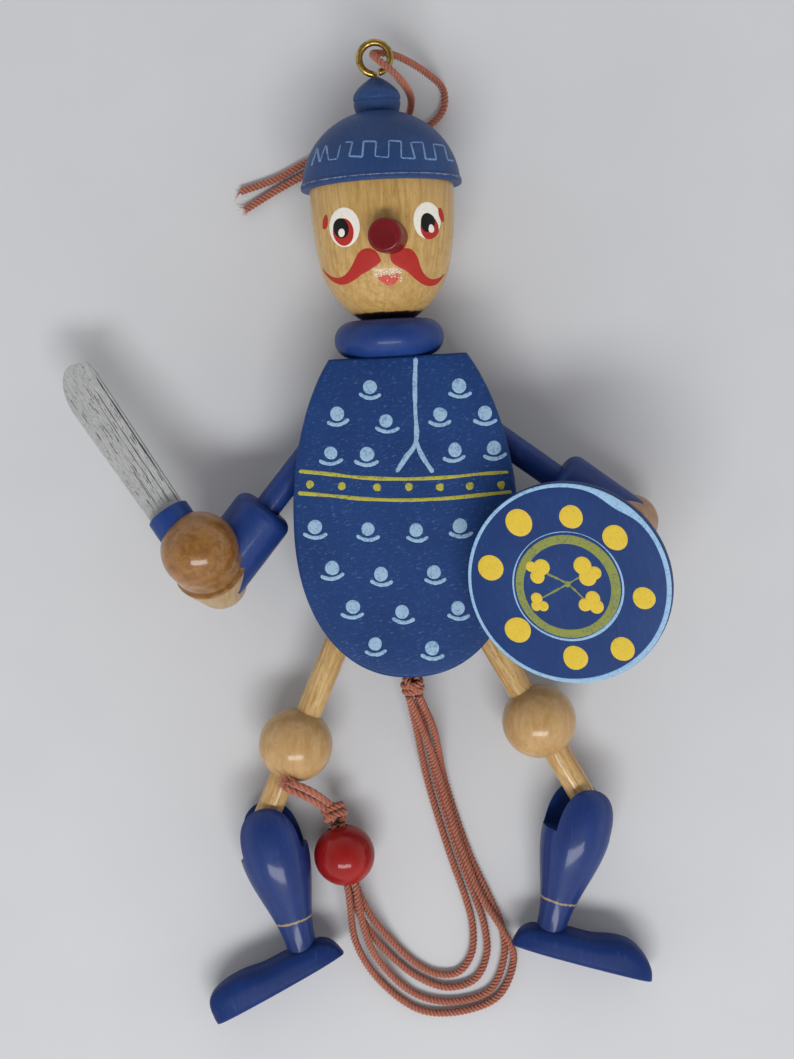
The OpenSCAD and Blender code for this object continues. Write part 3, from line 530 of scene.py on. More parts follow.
# The head's dark foot colour is a stain at the chin, deepened with painted shade where the chin meets the
# neck ring.
HEAD_WOOD = wooden("head wood", srgb(194, 160, 99), srgb(170, 132, 74), srgb(112, 80, 44), 0.6,
                   fine=900.0, long_=60.0, foot=srgb(46, 32, 24))
FIST_WOOD = wooden("fist wood", srgb(154, 107, 50), srgb(120, 79, 33), srgb(72, 46, 22), 0.6,
                   fine=420.0, long_=420.0, coat=0.5)
RING_WOOD = wooden("ring wood", srgb(152, 110, 62), srgb(118, 80, 42), srgb(70, 44, 24), 0.5,
                   fine=420.0, long_=420.0, coat=0.2)
BROWN_SHANK = wooden("brown shank wood", srgb(168, 128, 92), srgb(146, 106, 72), srgb(110, 78, 50), 0.45,
                     turns=(-60, 0, 0), coat=0.05)
SHANK_WOOD = wooden("shank wood", srgb(176, 152, 114), srgb(156, 130, 92), srgb(116, 88, 58), 0.45,
                    turns=(-60, 0, 0), coat=0.05)
BALL_WOOD = wooden("ball wood", srgb(187, 152, 102), srgb(171, 134, 86), srgb(128, 92, 52), 0.35,
                   fine=520.0, long_=160.0, coat=0.3)
INNER_WOOD = wooden("inner wood", srgb(206, 174, 122), srgb(188, 150, 98), srgb(150, 112, 70), 0.4)
BRASS = metal("brass wire", srgb(190, 160, 84), srgb(120, 96, 48), 0.22, 900.0)
STEEL = metal("nail steel", srgb(170, 170, 168), srgb(110, 108, 104), 0.3, 1200.0)
# The last colour is painted shade for the grooves between plies.
COTTON = twisted_cotton("terracotta cotton", srgb(196, 116, 86), srgb(156, 80, 56), srgb(220, 150, 120),
                        srgb(96, 44, 30))
LIGHT_BLUE = daubed("light blue marks", srgb(148, 180, 204), srgb(70, 104, 158), 0.8)
RIM_BLUE = daubed("rim blue", srgb(146, 182, 212), srgb(70, 106, 166), 0.6)
MEANDER_BLUE = daubed("meander blue", srgb(112, 144, 186), srgb(52, 78, 130), 0.95)
YELLOW = daubed("yellow marks", srgb(212, 182, 58), srgb(178, 150, 44), 0.5)
BELT_YELLOW = daubed("belt yellow", srgb(176, 170, 60), srgb(84, 94, 80), 0.85)
# Also used for the painted shade along the blade's right edge.
CRACK_AND_SHADE_GREY = daubed("crack and edge shade grey", srgb(62, 62, 60), srgb(96, 96, 94), 0.6)
OLIVE = daubed("olive ring", srgb(134, 140, 64), srgb(70, 94, 98), 0.75)
EYE_WHITE = daubed("eye white", srgb(226, 222, 212), srgb(200, 190, 172), 0.5)
FACE_RED = daubed("face red", srgb(168, 41, 34), srgb(140, 30, 26), 0.5)
LIP_RED = daubed("lip red", srgb(190, 70, 62), srgb(206, 140, 110), 0.6)
PUPIL_BLACK = daubed("pupil black", srgb(14, 12, 12), srgb(30, 24, 22), 0.4)


def limb_wood(side):
    """Straight-grained dowel, its grain turned along the thigh."""
    name, along = f"{SIDE_NAME[side]} thigh wood", (0, 0, -side * THIGH_ANGLE[side])
    return wooden(name, srgb(208, 177, 121), srgb(166, 124, 70), srgb(104, 70, 36), 0.85,
                  turns=along, fine=1100.0, long_=30.0, bump=0.04)


# Camera, light and table

FOCAL_PX, PICTURE_PX, SENSOR = 1837.5, 1059, 36.0
CAMERA_AT, CAMERA_ROLL = (0.0082, 0.0015, 0.505), -3.0
WINDOW_AT, WINDOW_SIZE, WINDOW_POWER = Vector((0.0, -1.1, 1.5)), (1.5, 0.45), 24.5
ROOM_LOW, ROOM_HIGH, ROOM_STRENGTH = (1.0, 1.0, 1.0, 1), (0.18, 0.18, 0.19, 1), 1.12
TABLE_HALF = 2.0

scene = bpy.context.scene
camera = bpy.data.objects.new("camera", bpy.data.cameras.new("camera"))
scene.collection.objects.link(camera)
camera.location = CAMERA_AT
camera.rotation_euler = (0, 0, math.radians(CAMERA_ROLL))
camera.data.sensor_width = SENSOR
camera.data.lens = FOCAL_PX * SENSOR / PICTURE_PX
camera.data.clip_start = 0.01
scene.camera = camera
scene.view_settings.view_transform = "Standard"

light = bpy.data.lights.new("window past the feet", "AREA")
light.shape, light.energy = "RECTANGLE", WINDOW_POWER
light.size, light.size_y = WINDOW_SIZE
window = bpy.data.objects.new("window past the feet", light)
window.location = WINDOW_AT
window.rotation_euler = (Vector((0, 0, 0)) - WINDOW_AT).to_track_quat("-Z", "Y").to_euler()
scene.collection.objects.link(window)

scene.world = bpy.data.worlds.new("room")
scene.world.use_nodes = True
g = Graph(scene.world.node_tree)
background = scene.world.node_tree.nodes["Background"]
up = g.add("SeparateXYZ", {0: g.add("TexCoord").outputs["Generated"]}).outputs["Z"]
g.feed(background.inputs["Color"], g.mix(g.ramp(up, 0.0, 1.0), ROOM_LOW, ROOM_HIGH))
g.feed(background.inputs["Strength"], ROOM_STRENGTH)

corners = TABLE_HALF * np.array([[-1, -1, 0], [1, -1, 0], [1, 1, 0], [-1, 1, 0]], float)
table = piece_from("table", corners, np.array([[0, 1, 2, 3]]))
table_paint, g, bsdf, where = new_material("table paint")
mottle = g.noise(where, 30.0, 3.0)
finish_surface(g, bsdf, g.mix(mottle, srgb(198, 199, 202), srgb(206, 207, 209)), 0.7, mottle, 0.02, {})
table.data.materials.append(table_paint)

# Cords: the routes keep close to those of the solids, in millimetres in the row frame

CORD_R = 1.05
PLY_PITCH, LOOSE_PITCH = 3.2, 6.0
PLY_STEP, PLY_AROUND = 0.35, 24
FIBRE_POINTS, FIBRE_SIDES, FIBRE_R = 6, 4, 0.17
FRAY_BACK, FRAY_SPREAD, FRAY_SPLAY, FRAY_BEND, FRAY_SAG = 1.2, 0.3, 0.42, 0.9, 0.4
FIBRE_SECTION = np.array([[1, 0.3, 0.2], [0.1, 0.5, 0.9], [0, 0, 0]])
STRANDS = [
    [(9, -43.3, 10.8), (10.6, -52.8, 6.6), (12.6, -65.8, 1.6), (15.4, -78, 1.1), (18.6, -90, 1.1),
     (21.6, -100, 1.1), (23.2, -108, 1.1), (22.4, -116, 1.1), (18.6, -120.6, 1.1), (13, -120.8, 1.1),
     (7, -117.4, 1.1), (0.6, -110.6, 2), (-4.6, -103, 4.6), (-8, -93.8, 7.05), (-11, -77, 7.05)],
    [(11.4, -43.3, 10.8), (13, -52.8, 6.6), (14.9, -65.8, 1.6), (17.8, -78, 1.1), (21, -90, 1.1),
     (24.2, -100, 1.1), (26.4, -108, 1.1), (26.6, -116.4, 1.1), (23, -122.8, 1.1), (15.6, -124.6, 1.1),
     (7.6, -121.4, 1.1), (-0.8, -113.6, 2), (-6.6, -104.4, 4.8), (-10.2, -94.2, 7.05),
     (-13.2, -77.4, 7.05)],
    [(11.8, -43.3, 13.3), (15.2, -52.8, 8.7), (17.2, -65.8, 1.9), (20.2, -78, 1.1), (23.9, -90, 1.1),
     (28, -100, 1.1), (31, -108, 1.1), (31.4, -117, 1.1), (27, -126, 1.1), (16, -128.6, 1.1),
     (6, -125.6, 1.1), (-2.8, -116, 3.4), (-6.4, -106, 7.4), (-8, -93.8, 9.35), (-11, -77, 9.35)],
    [(9.1, -43.3, 13.3), (12.3, -52.8, 9.4), (16.1, -65.8, 4), (19, -78, 3.05), (22.45, -90, 2.85),
     (26, -100, 2.8), (30.6, -108, 3.35), (33.1, -113, 3), (33.9, -118.6, 1.1), (29.4, -127.6, 1.1),
     (20, -131.2, 1.1), (8.2, -130.6, 1.1), (-2.4, -122.4, 1.4), (-8.7, -110.6, 5), (-10.2, -94.2, 9.35),
     (-13.2, -77.4, 9.35)],
]
BEAD_AT = (-10.6, -85.6, 8.2)
BEAD_TURN = 10
BEAD_R, BEAD_HOLE, BEAD_INSIDE = 8.2, 2.8, 7.4
BEAD_KNOT_AT = (-12.7, -74, 8.4)
PULL_KNOT_AT = (-0.5, -88, 0)
BEAD_TAILS = [
    [(-14.6, -73, 9.2), (-19.7, -68.7, 14.5), (-25.4, -65.2, 16.7)],
    [(-13.4, -71.9, 9.4), (-18.2, -67.1, 15.1), (-23.7, -63.8, 18.2)],
]
HANGING_LOOP = [
    (5.2, 106.2, 2.4), (14.2, 109.2, 1.3), (22.4, 111.4, 1.1), (26.8, 115.6, 1.1), (27.2, 120.6, 2.4),
    (22.6, 124.2, 8.6), (13.6, 126.9, 19.2), (9.6, 126.8, 22), (8.4, 125.6, 25.2), (10.4, 123, 27.6),
    (14.6, 119.4, 25.2), (18, 116, 13), (15.6, 112, 4.8), (7.2, 108.8, 4.2)
]
HANGING_KNOT_AT = (2.2, 106.6, 3.4)
HANGING_TAILS = [
    [(-0.2, 106.2, 3.2), (-8.8, 104.4, 1.3), (-19.8, 99.2, 1.1), (-29.8, 96.2, 1.1)],
    [(-0.4, 103.8, 2.6), (-8.8, 101.2, 1.3), (-18.8, 96.6, 1.1), (-28.8, 91.2, 1.1)],
]


def plied(name, path, radius=CORD_R, pitch=PLY_PITCH, place=None):
    """A three-ply cord: the outline of three touching circles, turned once about the path in each pitch.

    Without a place, the path is in the row frame and is kept off the table. The mask is 1 in the grooves
    between plies, where the finish paints shade, and the map has the way round, from 0 to 1, and the way
    along, in metres."""
    line, s = evenly(path, PLY_STEP)
    if place is None:
        line[:, 2] = np.maximum(line[:, 2], radius + 0.02)
    a = angles(PLY_AROUND)
    third = np.mod(a + math.pi / 3, 2 * math.pi / 3) - math.pi / 3
    ply, off = 0.54 * radius, 0.46 * radius
    lobe = off * np.cos(third) + np.sqrt(ply**2 - (off * np.sin(third)) ** 2)
    # groove is the mask for painted shade between the plies.
    groove = np.clip((radius - lobe) / (radius - lobe.min()), 0, 1) ** 1.5
    points = tube(line, lobe[None], a[None] + 2 * math.pi * s[:, None] / pitch)
    rows = len(points)
    along = np.concatenate([[0], s, [s[-1]]]) * MM
    way_round = np.tile(a / (2 * math.pi), (rows, 1))
    uv = np.stack([way_round, np.repeat(along[:, None], PLY_AROUND, axis=1)], axis=-1)
    obj = skin(name, points, np.eye(4) if place is None else place, np.tile(groove, (rows, 1)), uv)
    return obj, line, s[-1]


def frayed(name, ends, seed, count, reach):
    """Loose fibres at cut ends: thin bent wires that leave each end's heading by seeded random angles."""
    rng = np.random.default_rng(seed)
    k = np.linspace(0, 1, FIBRE_POINTS)[None, :, None]
    a = angles(FIBRE_SIDES)
    ring = np.stack([np.cos(a), np.sin(a), 0 * a], axis=-1) @ FIBRE_SECTION
    r = (FIBRE_R * (1 - 0.75 * k))[..., None]
    grids = []
    for end, heading in ends:
        start = end - FRAY_BACK * heading + rng.normal(0, FRAY_SPREAD, (count, 1, 3))
        way = heading + rng.normal(0, FRAY_SPLAY, (count, 1, 3))
        bend = rng.normal(0, FRAY_BEND, (count, 1, 3)) + [0, 0, -FRAY_SAG]
        length = reach * rng.uniform(0.5, 1.0, (count, 1, 1))
        lines = start + way * k * length + bend * k**2
        lines[..., 2] = np.maximum(lines[..., 2], 0.25)
        grids.append(lines[:, :, None] + r * ring)
    fibres = np.concatenate(grids)
    each = FIBRE_POINTS * FIBRE_SIDES
    starts = np.arange(len(fibres))[:, None, None] * each
    faces = (grid_faces(FIBRE_POINTS, FIBRE_SIDES, wrap=True) + starts).reshape(-1, 4)
    uv = np.zeros((len(fibres) * each, 2))
    return piece_from(name, put(fibres.reshape(-1, 3), np.eye(4)), faces, uv[:, 0], uv, weld=False)


def wound_knot(name, wraps, width, height, place, slant=12.0):
    """A drawn-up knot: a helix of cord round the axis z, swollen at mid-height, and a crossing turn."""
    k = np.linspace(0, 1, 160)
    a = 2 * math.pi * wraps * k
    swell = (width / 2 - CORD_R) * (0.72 + 0.28 * np.sin(math.pi * k))
    lift = (k - 0.5) * (height - 2 * CORD_R)
    helix = np.stack([swell * np.cos(a), swell * np.sin(a) * 0.92, lift], axis=1)
    back = np.linspace(0, 1, 40)[1:]
    b = a[-1] + 2.2 * back
    reach = swell[-1] + 0.5 * np.sin(math.pi * back)
    down = lift[-1] - back * (height - 2.2 * CORD_R)
    cross = np.stack([reach * np.cos(b), reach * np.sin(b), down], axis=1)
    return plied(name, np.concatenate([helix, cross]), place=place @ turn("x", slant))[0]


def tails(stem, routes, samples, pitch, body, seed, fibres, reach):
    """The loose ends of a cord, with the fibres that fray out of them first in the list."""
    pieces, tips = [], []
    for number, route in enumerate(routes, 1):
        obj, line, _ = plied(f"{stem}_tail_{number}", spline(route, samples), pitch=pitch)
        pieces.append(dress(obj, COTTON, body, "cord"))
        tips.append((line[-1], (line[-1] - line[-4]) / np.linalg.norm(line[-1] - line[-4])))
    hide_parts(f"{stem}_tails")
    return [dress(frayed(f"{stem}_tail_fray", tips, seed, fibres, reach), COTTON, body, "cord"), *pieces]


cords = []
for number, route in enumerate(STRANDS, 1):
    cord = plied(f"pull_cord_{number}", spline(route, 400))
    dress(cord[0], COTTON, "pull", "cord", f"pull_strand_{number}")
    cords.append((*cord, []))
bead_tails = tails("bead", BEAD_TAILS, 60, LOOSE_PITCH, "pull", 3, 26, 3.6)
pull_knot = wound_knot("pull_knot_tied", 2.6, 6.8, 6.6, LYING @ move(*PULL_KNOT_AT) @ turn("x", -90))
dress(pull_knot, COTTON, "pull", "cord", "pull_knot")
along_bead = turn("z", BEAD_TURN) @ turn("x", -90)
bead_knot = wound_knot("bead_knot_tied", 2.4, 7.4, 6.8, move(*BEAD_KNOT_AT) @ along_bead, -14.0)
dress(bead_knot, COTTON, "pull", "cord", "bead_knot")

hole_angle = math.degrees(math.acos(BEAD_HOLE / BEAD_R))
bead_wall = arc(0, 0, BEAD_R, -hole_angle, hole_angle, 70)
bead_profile = np.concatenate([
    bead_wall, [[BEAD_HOLE, BEAD_INSIDE], [BEAD_HOLE, -BEAD_INSIDE]], bead_wall[:1]])
bead = turned("bead_turned", bead_profile, move(*BEAD_AT) @ along_bead)
dress(bead, RED_GLOSS, "pull", "red_painted_wood", "bead")
cords[0][-1].extend([bead, bead_knot, pull_knot, *bead_tails])

loop = plied("hanging_loop_cord", spline(HANGING_LOOP, 300))
dress(loop[0], COTTON, "torso", "cord", "hanging_loop")
hanging_tails = tails("hanging", HANGING_TAILS, 100, PLY_PITCH, "torso", 5, 18, 2.4)
hanging_knot = wound_knot("hanging_knot_tied", 2.2, 6.4, 6.6, move(*HANGING_KNOT_AT) @ turn("y", 90))
dress(hanging_knot, COTTON, "torso", "cord", "hanging_knot")
cords.append((*loop, [hanging_knot, *hanging_tails]))

# Limb strings, each made in an upper and a lower part

STRING_R = 0.95
STRING_SAMPLES, STRING_CUT = 120, 60
STRING_PARTS = {
    "left_arm_string": ("left_arm", [
        (-19.4, -9.3, 0), (-11.6, -16, 0), (-6.6, -33, 0.3), (-2.1, -47, 0.8), (-1.6, -56, 1.1),
        (-1.6, -74, 1.15), (-1.65, -86, 1.15)]),
    "right_arm_string": ("right_arm", [
        (17.7, -9.4, 0), (11.5, -17.3, 0), (6.6, -33, 0.3), (2.1, -47, 0.8), (1.6, -56, 1.1),
        (1.4, -74, 1.15), (0.65, -86, 1.15)]),
    "left_leg_string": ("left_thigh_body", [
        (-16.7, -55.2, 0), (-7.6, -59.5, 0), (-6.4, -71, -0.7), (-1.65, -86, -1.15)]),
    "right_leg_string": ("right_thigh_body", [
        (16.3, -55.1, 0), (7.4, -59.8, 0), (6.4, -71, -0.7), (0.65, -86, -1.15)]),
}
for node, (limb, route) in STRING_PARTS.items():
    line = spline(route, STRING_SAMPLES)
    for part, run, a, b in (("top", line[:STRING_CUT + 1], limb, "torso"),
                            ("foot", line[STRING_CUT:], "torso", "pull")):
        obj = plied(f"{node}_{part}", run, STRING_R, place=LYING)[0]
        obj.data.materials.append(COTTON)
        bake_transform(obj)
        if part == "top":
            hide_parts(node)

# Body

BODY_W, BODY_TOP, BODY_H, BELLY, BODY_POWER = 59.0, 36.0, 84.5, 44.5, 2.2
BODY_POINTS, BODY_MIDDLE = 420, (0, -42)
PLATE_IN, PLATE_OUT, PLATE_EDGE = 4.0, 9.0, 1.0


def body_outline():
    """Half a superellipse under the belly line, and above it an ellipse cut off at the flat top edge."""
    half = BODY_W / 2
    crown = BELLY / math.sqrt(1 - (BODY_TOP / BODY_W) ** 2)
    a = np.linspace(math.pi / 2, 0, 120)
    drop = (BODY_H - BELLY) * np.sin(a) ** (2 / BODY_POWER)
    low = np.stack([half * np.cos(a) ** (2 / BODY_POWER), -BELLY - drop], axis=1)
    b = np.linspace(0, math.acos(BODY_TOP / BODY_W), 90)[1:]
    high = np.stack([half * np.cos(b), -BELLY + crown * np.sin(b)], axis=1)
    right = np.concatenate([low, high])
    left = (right * [-1, 1])[::-1][:-1]
    edge = np.concatenate([right, left, right[:1]])
    return evenly(edge, 0.001 + distance_along(edge)[-1] / BODY_POINTS)[0][:-1]


for name, low, high, node in (("front_plate", PLATE_IN, PLATE_OUT, "body_front"),
                              ("back_plate", -PLATE_OUT, -PLATE_IN, "body_back")):
    plate = slab(name, body_outline(), low, high, PLATE_EDGE, LYING, BODY_MIDDLE)
    dress(plate, BODY_BLUE, "torso", "blue_painted_wood", node)

# Brush marks: each is a kind and a grid of points; a surface gives the point for x, y and a rise

PATCH_RINGS, WIDTH_KNOTS = 7, 14


def paint_rise(lift, across, power=8):
    """Height of paint across a mark: full in the middle, at 0, and turned down at the edge, at 1."""
    return lift * (1 - 1.6 * np.abs(across) ** power)


def patch(outline, surface, lift):
    """A painted spot: rings from its middle out to its outline."""
    middle = outline.mean(axis=0)
    share = np.linspace(0, 1, PATCH_RINGS)
    flat = middle + (outline[None] - middle) * share[:, None, None]
    rise = np.broadcast_to(paint_rise(lift, share)[:, None], flat.shape[:2])
    return "spot", surface(flat[..., 0], flat[..., 1], rise)


def stroke(points, width, surface, lift, count=40, across=7, smooth=True, wobble=0.0, seed=0):
    """A brush line: points square to a curve on both sides, round at both ends, with a wandering width."""
    line = spline(points, count) if smooth else evenly(np.asarray(points, float), 0.25)[0]
    t = headings(line)
    side = np.stack([-t[:, 1], t[:, 0]], axis=1)
    d = distance_along(line)
    half = width / 2 * np.ones(len(line))
    if wobble:
        rng = np.random.default_rng(seed)
        knots = rng.uniform(1 - wobble, 1 + wobble, WIDTH_KNOTS)
        half = half * np.interp(d / d[-1], np.linspace(0, 1, WIDTH_KNOTS), knots)
    near = np.minimum(d, d[-1] - d)
    half = half * np.sqrt(np.clip(1 - (1 - np.clip(near / (width / 2), 0, 1)) ** 2, 0.02, 1))
    v = np.linspace(-1, 1, across)
    flat = line[:, None] + side[:, None] * (half[:, None] * v)[..., None]
    rise = np.broadcast_to(paint_rise(lift, v, 6)[None], flat.shape[:2])
    return "line", surface(flat[..., 0], flat[..., 1], rise)


def spot(x, y, rx, ry, surface, lift, uneven=0.06, seed=0, turn_deg=0.0, count=40):
    """An uneven ellipse: radii that wander by a few slow waves."""
    rng = np.random.default_rng(seed)
    a = angles(count)
    waves = [rng.normal() * np.cos(k * a + rng.uniform(0, 6)) for k in (2, 3)]
    r = 1 + uneven * (waves[0] + waves[1]) / 1.6
    c, s = math.cos(math.radians(turn_deg)), math.sin(math.radians(turn_deg))
    e = np.stack([rx * r * np.cos(a), ry * r * np.sin(a)], axis=1) @ np.array([[c, s], [-s, c]])
    return patch(e + (x, y), surface, lift)


def marks_piece(name, marks, place, material, body, slot):
    """Joins brush marks of one paint into a single piece."""
    points, faces, start = [], [], 0
    for kind, grid in marks:
        rows, columns = grid.shape[:2]
        points.append(grid.reshape(-1, 3))
        faces.append(grid_faces(rows, columns, wrap=kind == "spot") + start)
        start += rows * columns
    dress(piece_from(name, put(np.concatenate(points), place), np.concatenate(faces)), material, body, slot)


def on_flat(height):
    """A flat painted face at a height."""
    return lambda x, y, rise: np.stack([x, y, height + rise], axis=-1)


def on_round(radius, x, y):
    """Points on the front of a turning about the head's axis, with its radius at each."""
    dx = np.clip(x - HEAD_X, -radius * 0.999, radius * 0.999)
    return np.stack([HEAD_X + dx, y, np.sqrt(radius**2 - dx**2)], axis=-1)


# Marks on the body

PAINT_LIFT = 0.09
DOT_R, BOW_W, BOW_REACH, BOW_UNDER, BOW_RISE = 1.95, 1.1, 3.0, 2.85, 1.15
on_plate = on_flat(PLATE_OUT)
MOTIFS = [
    (-7.6, -7.7), (-16.5, -14.2), (-3.9, -16.7), (-18.7, -24.3), (-9.3, -25.1), (15.6, -8.6),
    (10.3, -15.7), (22, -16), (13.7, -25.2), (23.9, -25.2), (-23.9, -43.4), (-10.1, -44.7), (2.5, -45.6),
    (14, -45.1), (-20, -54.4), (-7.3, -56.7), (6.6, -56.9), (-15.1, -64.9), (-2.3, -66.9), (12.4, -66.7),
    (-9.8, -75), (5.1, -76.9)
]
COLLAR_LINE = [(4.7, -0.7), (4.1, -8), (3.9, -14), (3.5, -22.9), (0.9, -26.4), (-1.9, -30.2)]
COLLAR_FORK = [(3.6, -22.2), (5, -26.2), (7.7, -30.8)]
BELT_W, BELT_DOT = 1.05, (1.1, 1.15)
BELT_LINES = [
    [(-27.3, -28.6), (-19.2, -29.8), (-11.4, -31.1), (0.3, -32.1), (12, -32.2), (19.9, -31.8), (27.4, -31.7)],
    [(-27.9, -34.3), (-19.5, -35.4), (-11.7, -36.6), (0, -37.6), (11.8, -37.7), (19.6, -37.3), (28, -36.9)],
]
BELT_DOTS = [(-24.6, -32.2), (-16.3, -33.1), (-7.1, -33.9), (1.2, -34.2), (9.3, -34.7), (17.1, -34.8),
             (25.3, -35)]


def motif(x, y, seed):
    """A dot over a bow, each a little different."""
    rng = np.random.default_rng(seed)
    r = DOT_R + rng.uniform(-0.12, 0.12)
    dot = spot(x, y, r, r * rng.uniform(0.96, 1.06), on_plate, PAINT_LIFT, 0.025, seed)
    k = np.linspace(-1, 1, 9)
    reach, lean = BOW_REACH + rng.uniform(-0.2, 0.2), rng.uniform(-0.25, 0.25)
    bow = np.stack([x + reach * k + 0.15 * rng.normal(), y - BOW_UNDER + BOW_RISE * k**2 + lean * k], axis=1)
    return dot, stroke(bow, BOW_W, on_plate, PAINT_LIFT, wobble=0.14, seed=seed)


marks = [mark for seed, (x, y) in enumerate(MOTIFS) for mark in motif(x, y, seed)]
marks.append(stroke(COLLAR_LINE, 1.35, on_plate, PAINT_LIFT, 90, wobble=0.2, seed=31))
marks.append(stroke(COLLAR_FORK, 1.3, on_plate, PAINT_LIFT * 0.9, wobble=0.2, seed=32))
marks_piece("body_light_marks", marks, LYING, LIGHT_BLUE, "torso", "blue_painted_wood")
marks = [stroke(line, BELT_W, on_plate, PAINT_LIFT, 160, wobble=0.22, seed=k + 40)
         for k, line in enumerate(BELT_LINES)]
marks += [spot(x, y, *BELT_DOT, on_plate, PAINT_LIFT, 0.09, k + 50) for k, (x, y) in enumerate(BELT_DOTS)]
marks_piece("body_belt_marks", marks, LYING, BELT_YELLOW, "torso", "blue_painted_wood")

# Neck and head

NECK_R, NECK_ROUND, NECK_BORE = 14.5, 4.9, 2.6
CHIN_Y, HEAD_H, HEAD_R, CHIN_R, CHIN_H, CHIN_FOOT, HEAD_POWER = 9.8, 36.0, 19.0, 10.2, 3.5, 6.3, 2.2
neck_profile = np.concatenate([
    [[NECK_BORE, 0]], arc(NECK_R - NECK_ROUND, NECK_ROUND, NECK_ROUND, -90, 90, 48), [[NECK_BORE, CHIN_Y]]])
neck = turned("neck_ring_turned", neck_profile, HEAD_AXIS)
dress(neck, TURNED_BLUE, "torso", "blue_painted_wood", "neck_ring")


def head_radius(up):
    """The head's wall: a rounded taper, and above the chin never past a superellipse."""
    t = np.clip((HEAD_H - up) / HEAD_H, 0, 1)
    round_wall = CHIN_FOOT + (HEAD_R - CHIN_FOOT) * (1 - t**3.6) ** 0.82
    t = np.clip((HEAD_H - up) / (HEAD_H - CHIN_H), 0, 1)
    turned_wall = CHIN_R + (HEAD_R - CHIN_R) * (1 - t**HEAD_POWER) ** (1 / HEAD_POWER)
    return np.where(up > CHIN_H + 0.2, np.minimum(round_wall, turned_wall), round_wall)


levels = np.concatenate([
    np.linspace(0, CHIN_H, 8)[:-1], CHIN_H + (HEAD_H - CHIN_H) * np.linspace(0, 1, 90) ** 1.9])
head_profile = np.concatenate([[[0, 0]], np.stack([head_radius(levels), levels], axis=1), [[0, HEAD_H]]])
# Mask of the dark chin foot: a stain with painted shade, where the head meets the neck ring.
chin_stain_and_shade = np.clip(1.4 - head_profile[:, 1] / 2, 0, 1)
head = turned("head_turned", head_profile, HEAD_AXIS @ move(0, 0, CHIN_Y), 160, chin_stain_and_shade)
dress(head, HEAD_WOOD, "torso", "bare_wood", "head")


def on_head(x, y, rise):
    return on_round(head_radius(y - CHIN_Y) + rise, x, y)


def face_piece(name, marks, material):
    marks_piece(name, marks, LYING, material, "torso", "bare_wood")


def face_spots(name, material, lift, uneven, seed, *spots):
    """Spots on the face, each with its place, two radii and turn, and the next seed."""
    marks = [spot(*at, on_head, lift, uneven, seed + k, turned_by)
             for k, (*at, turned_by) in enumerate(spots)]
    face_piece(name, marks, material)


face_spots("eye_whites", EYE_WHITE, 0.06, 0.03, 1, (-11.9, 33.2, 4.3, 5.45, 6), (9.4, 33.9, 3.9, 5.05, -6))
face_spots("eye_rings", FACE_RED, 0.12, 0.03, 3, (-12.2, 32.1, 3.1, 4.0, 0), (9.8, 32.3, 2.7, 3.5, 0))
face_spots("eye_pupils", PUPIL_BLACK, 0.17, 0.03, 5, (-12.7, 32.9, 2.4, 3.1, 10), (9.5, 33.3, 2.2, 2.85, -12))
face_spots("eye_lights", EYE_WHITE, 0.22, 0.06, 7, (-12.7, 31.9, 1.1, 1.35, 0), (10.3, 31.9, 0.95, 1.25, 0))
MOUSTACHE = [
    [(-3, 24.1), (-3.4, 25.4), (-4, 26.6), (-5.2, 27.5), (-6.9, 27.7), (-8.4, 27), (-9.6, 25.2),
     (-10.6, 23.4), (-12, 21.7), (-13.6, 20.9), (-15.6, 21.2), (-17.3, 22.4), (-18.4, 23.8), (-17.6, 22.1),
     (-16.1, 20.3), (-14.1, 19), (-12.6, 18.8), (-10.4, 19.4), (-8.1, 20.7), (-6.2, 21.6), (-4.2, 22.9)],
    [(-0.6, 24.8), (-0.4, 25.8), (0.9, 26.6), (2.9, 27.2), (4.6, 27.1), (5.8, 26.1), (6.6, 24.4),
     (7.1, 22.3), (8.1, 20.4), (9.6, 19.4), (11.4, 19.5), (12.7, 20.2), (13.3, 20.7), (12.6, 19.4),
     (11.1, 17.9), (9.3, 17.4), (7.6, 17.7), (5.5, 19), (3.4, 20.9), (1.3, 22.2), (-0.1, 23.3)],
]
WHISKER_TIP, WHISKER_STEPS, WHISKER_ROWS, WHISKER_LIFT = 12, 70, 11, 0.1


def whisker(points):
    """A curled half moustache: rows between its two long edges, from the root to the tip."""
    edge = spline(points, 240, closed=True)
    tip, root = (int(np.argmin(np.linalg.norm(edge - points[k], axis=1))) for k in (WHISKER_TIP, 0))
    edge = np.roll(edge, -root, axis=0)
    tip = (tip - root) % len(edge)
    halves = edge[:tip + 1], np.concatenate([edge[tip:], edge[:1]])[::-1]
    one, two = (evenly(half, distance_along(half)[-1] / WHISKER_STEPS)[0] for half in halves)
    v = np.linspace(0, 1, WHISKER_ROWS)
    flat = one[:, None] * (1 - v[:, None]) + two[:, None] * v[:, None]
    rise = np.broadcast_to(paint_rise(WHISKER_LIFT, 2 * v - 1)[None], flat.shape[:2])
    return "line", on_head(flat[..., 0], flat[..., 1], rise)


face_piece("moustache", [whisker(points) for points in MOUSTACHE], FACE_RED)
face_spots("cheek_marks", FACE_RED, 0.06, 0.05, 9, (-16.8, 35.1, 0.8, 2.0, -8), (13.1, 35.5, 0.75, 2.0, 12))
LIP = [
    (-4.5, 20.3), (-3.5, 19.1), (-2.3, 18.1), (-1, 17.7), (0.5, 18.3), (1.5, 19.5), (2.2, 21), (0.6, 20.8),
    (-1.1, 20.5), (-2.8, 20.8)
]
face_piece("mouth", [patch(spline(LIP, 60, closed=True), on_head, 0.07)], LIP_RED)
